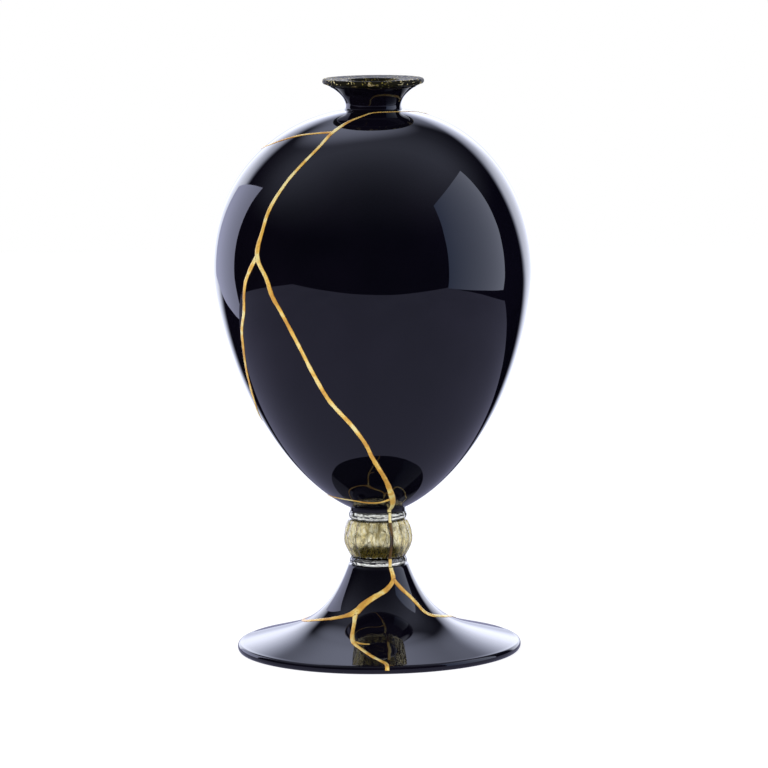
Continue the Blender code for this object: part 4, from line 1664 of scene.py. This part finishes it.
    def bare_material(self, name: str) -> tuple[bpy.types.Material, bpy.types.NodeTree]:
        """Return a new material and its empty tree."""
        material = bpy.data.materials.new(name)
        material.use_nodes = True
        material.node_tree.nodes.clear()
        return material, material.node_tree

    def add_fill(self) -> None:
        """Add a broad front fill that lights matt surfaces and stays out of reflections."""
        data = bpy.data.lights.new("front_fill", "AREA")
        data.shape = "RECTANGLE"
        data.size, data.size_y = self.fill_size
        data.energy = self.fill_energy
        data.color = self.fill_colour
        fill = bpy.data.objects.new("front_fill", data)
        bpy.context.scene.collection.objects.link(fill)
        fill.location = self.fill_place
        toward = Vector(self.fill_target) - Vector(self.fill_place)
        fill.rotation_euler = toward.to_track_quat("-Z", "Y").to_euler()
        fill.visible_glossy = False
        fill.visible_transmission = False


def main() -> None:
    """Build the studio and every piece of the vase, and report each one."""
    logging.basicConfig(level=logging.INFO, format="%(message)s")
    Studio().build()
    seam_gold = SeamGold("seam_gold").build()
    # The seam's gold darkened to deep brown as painted shade, for the stretch of seam that lies in the
    # knop's groove.
    painted_shade_seam = SeamGold(
        "shaded_seam", pale=(0.16, 0.09, 0.03), body=(0.07, 0.035, 0.01), shade=(0.03, 0.012, 0.004),
        edge=(0.02, 0.01, 0.004),
    ).build()
    clear_glass = ClearGlass("clear_glass").build()
    foot, bowl, lip, knop = Foot(), Bowl(), Lip(), Knop()
    # The heights over which the knop's painted reflection of the dark foot fades out.
    painted_reflection_below = tuple(base_of("knop") + share * knop.height for share in knop.painted_reflection_heights)
    gold_leaf = GoldLeaf("gold_leaf", painted_reflection_below=painted_reflection_below).build()
    lip_gold = GoldLeaf(
        "lip_leaf", light=(1.0, 0.95, 0.60), body=(0.86, 0.70, 0.26), bare=(0.20, 0.15, 0.04),
        stretch=(1.0, 1.0, 1.0), flake_scale=500.0, sheen=0.15,
    ).build()
    lower = Collar("lower_collar_glass", "lower_collar", 16.1 * MM, 4.7 * MM, 26, 0.25 * MM, 0.0)
    upper = Collar("upper_collar_glass", "upper_collar", 16.4 * MM, 5.0 * MM, 18, 0.3 * MM, 120.0)

    piece = foot.build()
    dress(piece, BlackGlass("foot_black_glass").build())
    hand_over(piece, "black_glass", "foot")

    piece = bowl.build()
    dress(piece, BlackGlass("bowl_black_glass").build())
    hand_over(piece, "black_glass", "bowl")

    ring = lip.build()
    dress(ring, FleckedGlass("lip_flecked_glass").build())
    flakes = lip.strew(ring, lip_gold)
    hand_over(ring, "flecked_glass", "lip_wrap")
    hand_over(flakes, "flecked_glass")

    hand_over(lower.build(clear_glass), "clear_glass", "lower_collar")
    hand_over(upper.build(clear_glass), "clear_glass", "upper_collar")

    glass_depth = knop.rib_depth * knop.glass_grooves
    leaf_depth = knop.rib_depth * knop.leaf_grooves
    hand_over(knop.skin("knop_glass", 0.0, glass_depth, clear_glass), "clear_glass")
    core = knop.skin("knop_gold_leaf", knop.glass_thickness, leaf_depth, gold_leaf)
    hand_over(core, "gold_leaf_glass", "knop")

    bowl_courses = [BOWL_MAIN_COURSE, BOWL_SHOULDER_COURSE, BOWL_FLANK_COURSE, BOWL_BASE_COURSE]
    foot_courses = [FOOT_LEFT_COURSE, FOOT_RIGHT_COURSE, FOOT_FRONT_COURSE, FOOT_SPUR_COURSE]
    stem_line = StemLine(knop, lower.radius, upper.radius)
    bowl_seam = Seam("gold_seam_bowl", bowl, bowl_courses)
    stem_seam = Seam("gold_seam_stem", stem_line, stem_line.collar_courses())
    groove_seam = Seam("gold_seam_groove", stem_line, [stem_line.groove_course()])
    foot_seam = Seam("gold_seam_foot", foot, foot_courses)
    hand_over(bowl_seam.build(seam_gold), "seam_gold", "seam_bowl")
    hand_over(stem_seam.build(seam_gold), "seam_gold", "seam_stem")
    hand_over(groove_seam.build(painted_shade_seam), "seam_gold")
    hand_over(foot_seam.build(seam_gold), "seam_gold", "seam_foot")


if __name__ == "__main__":
    main()
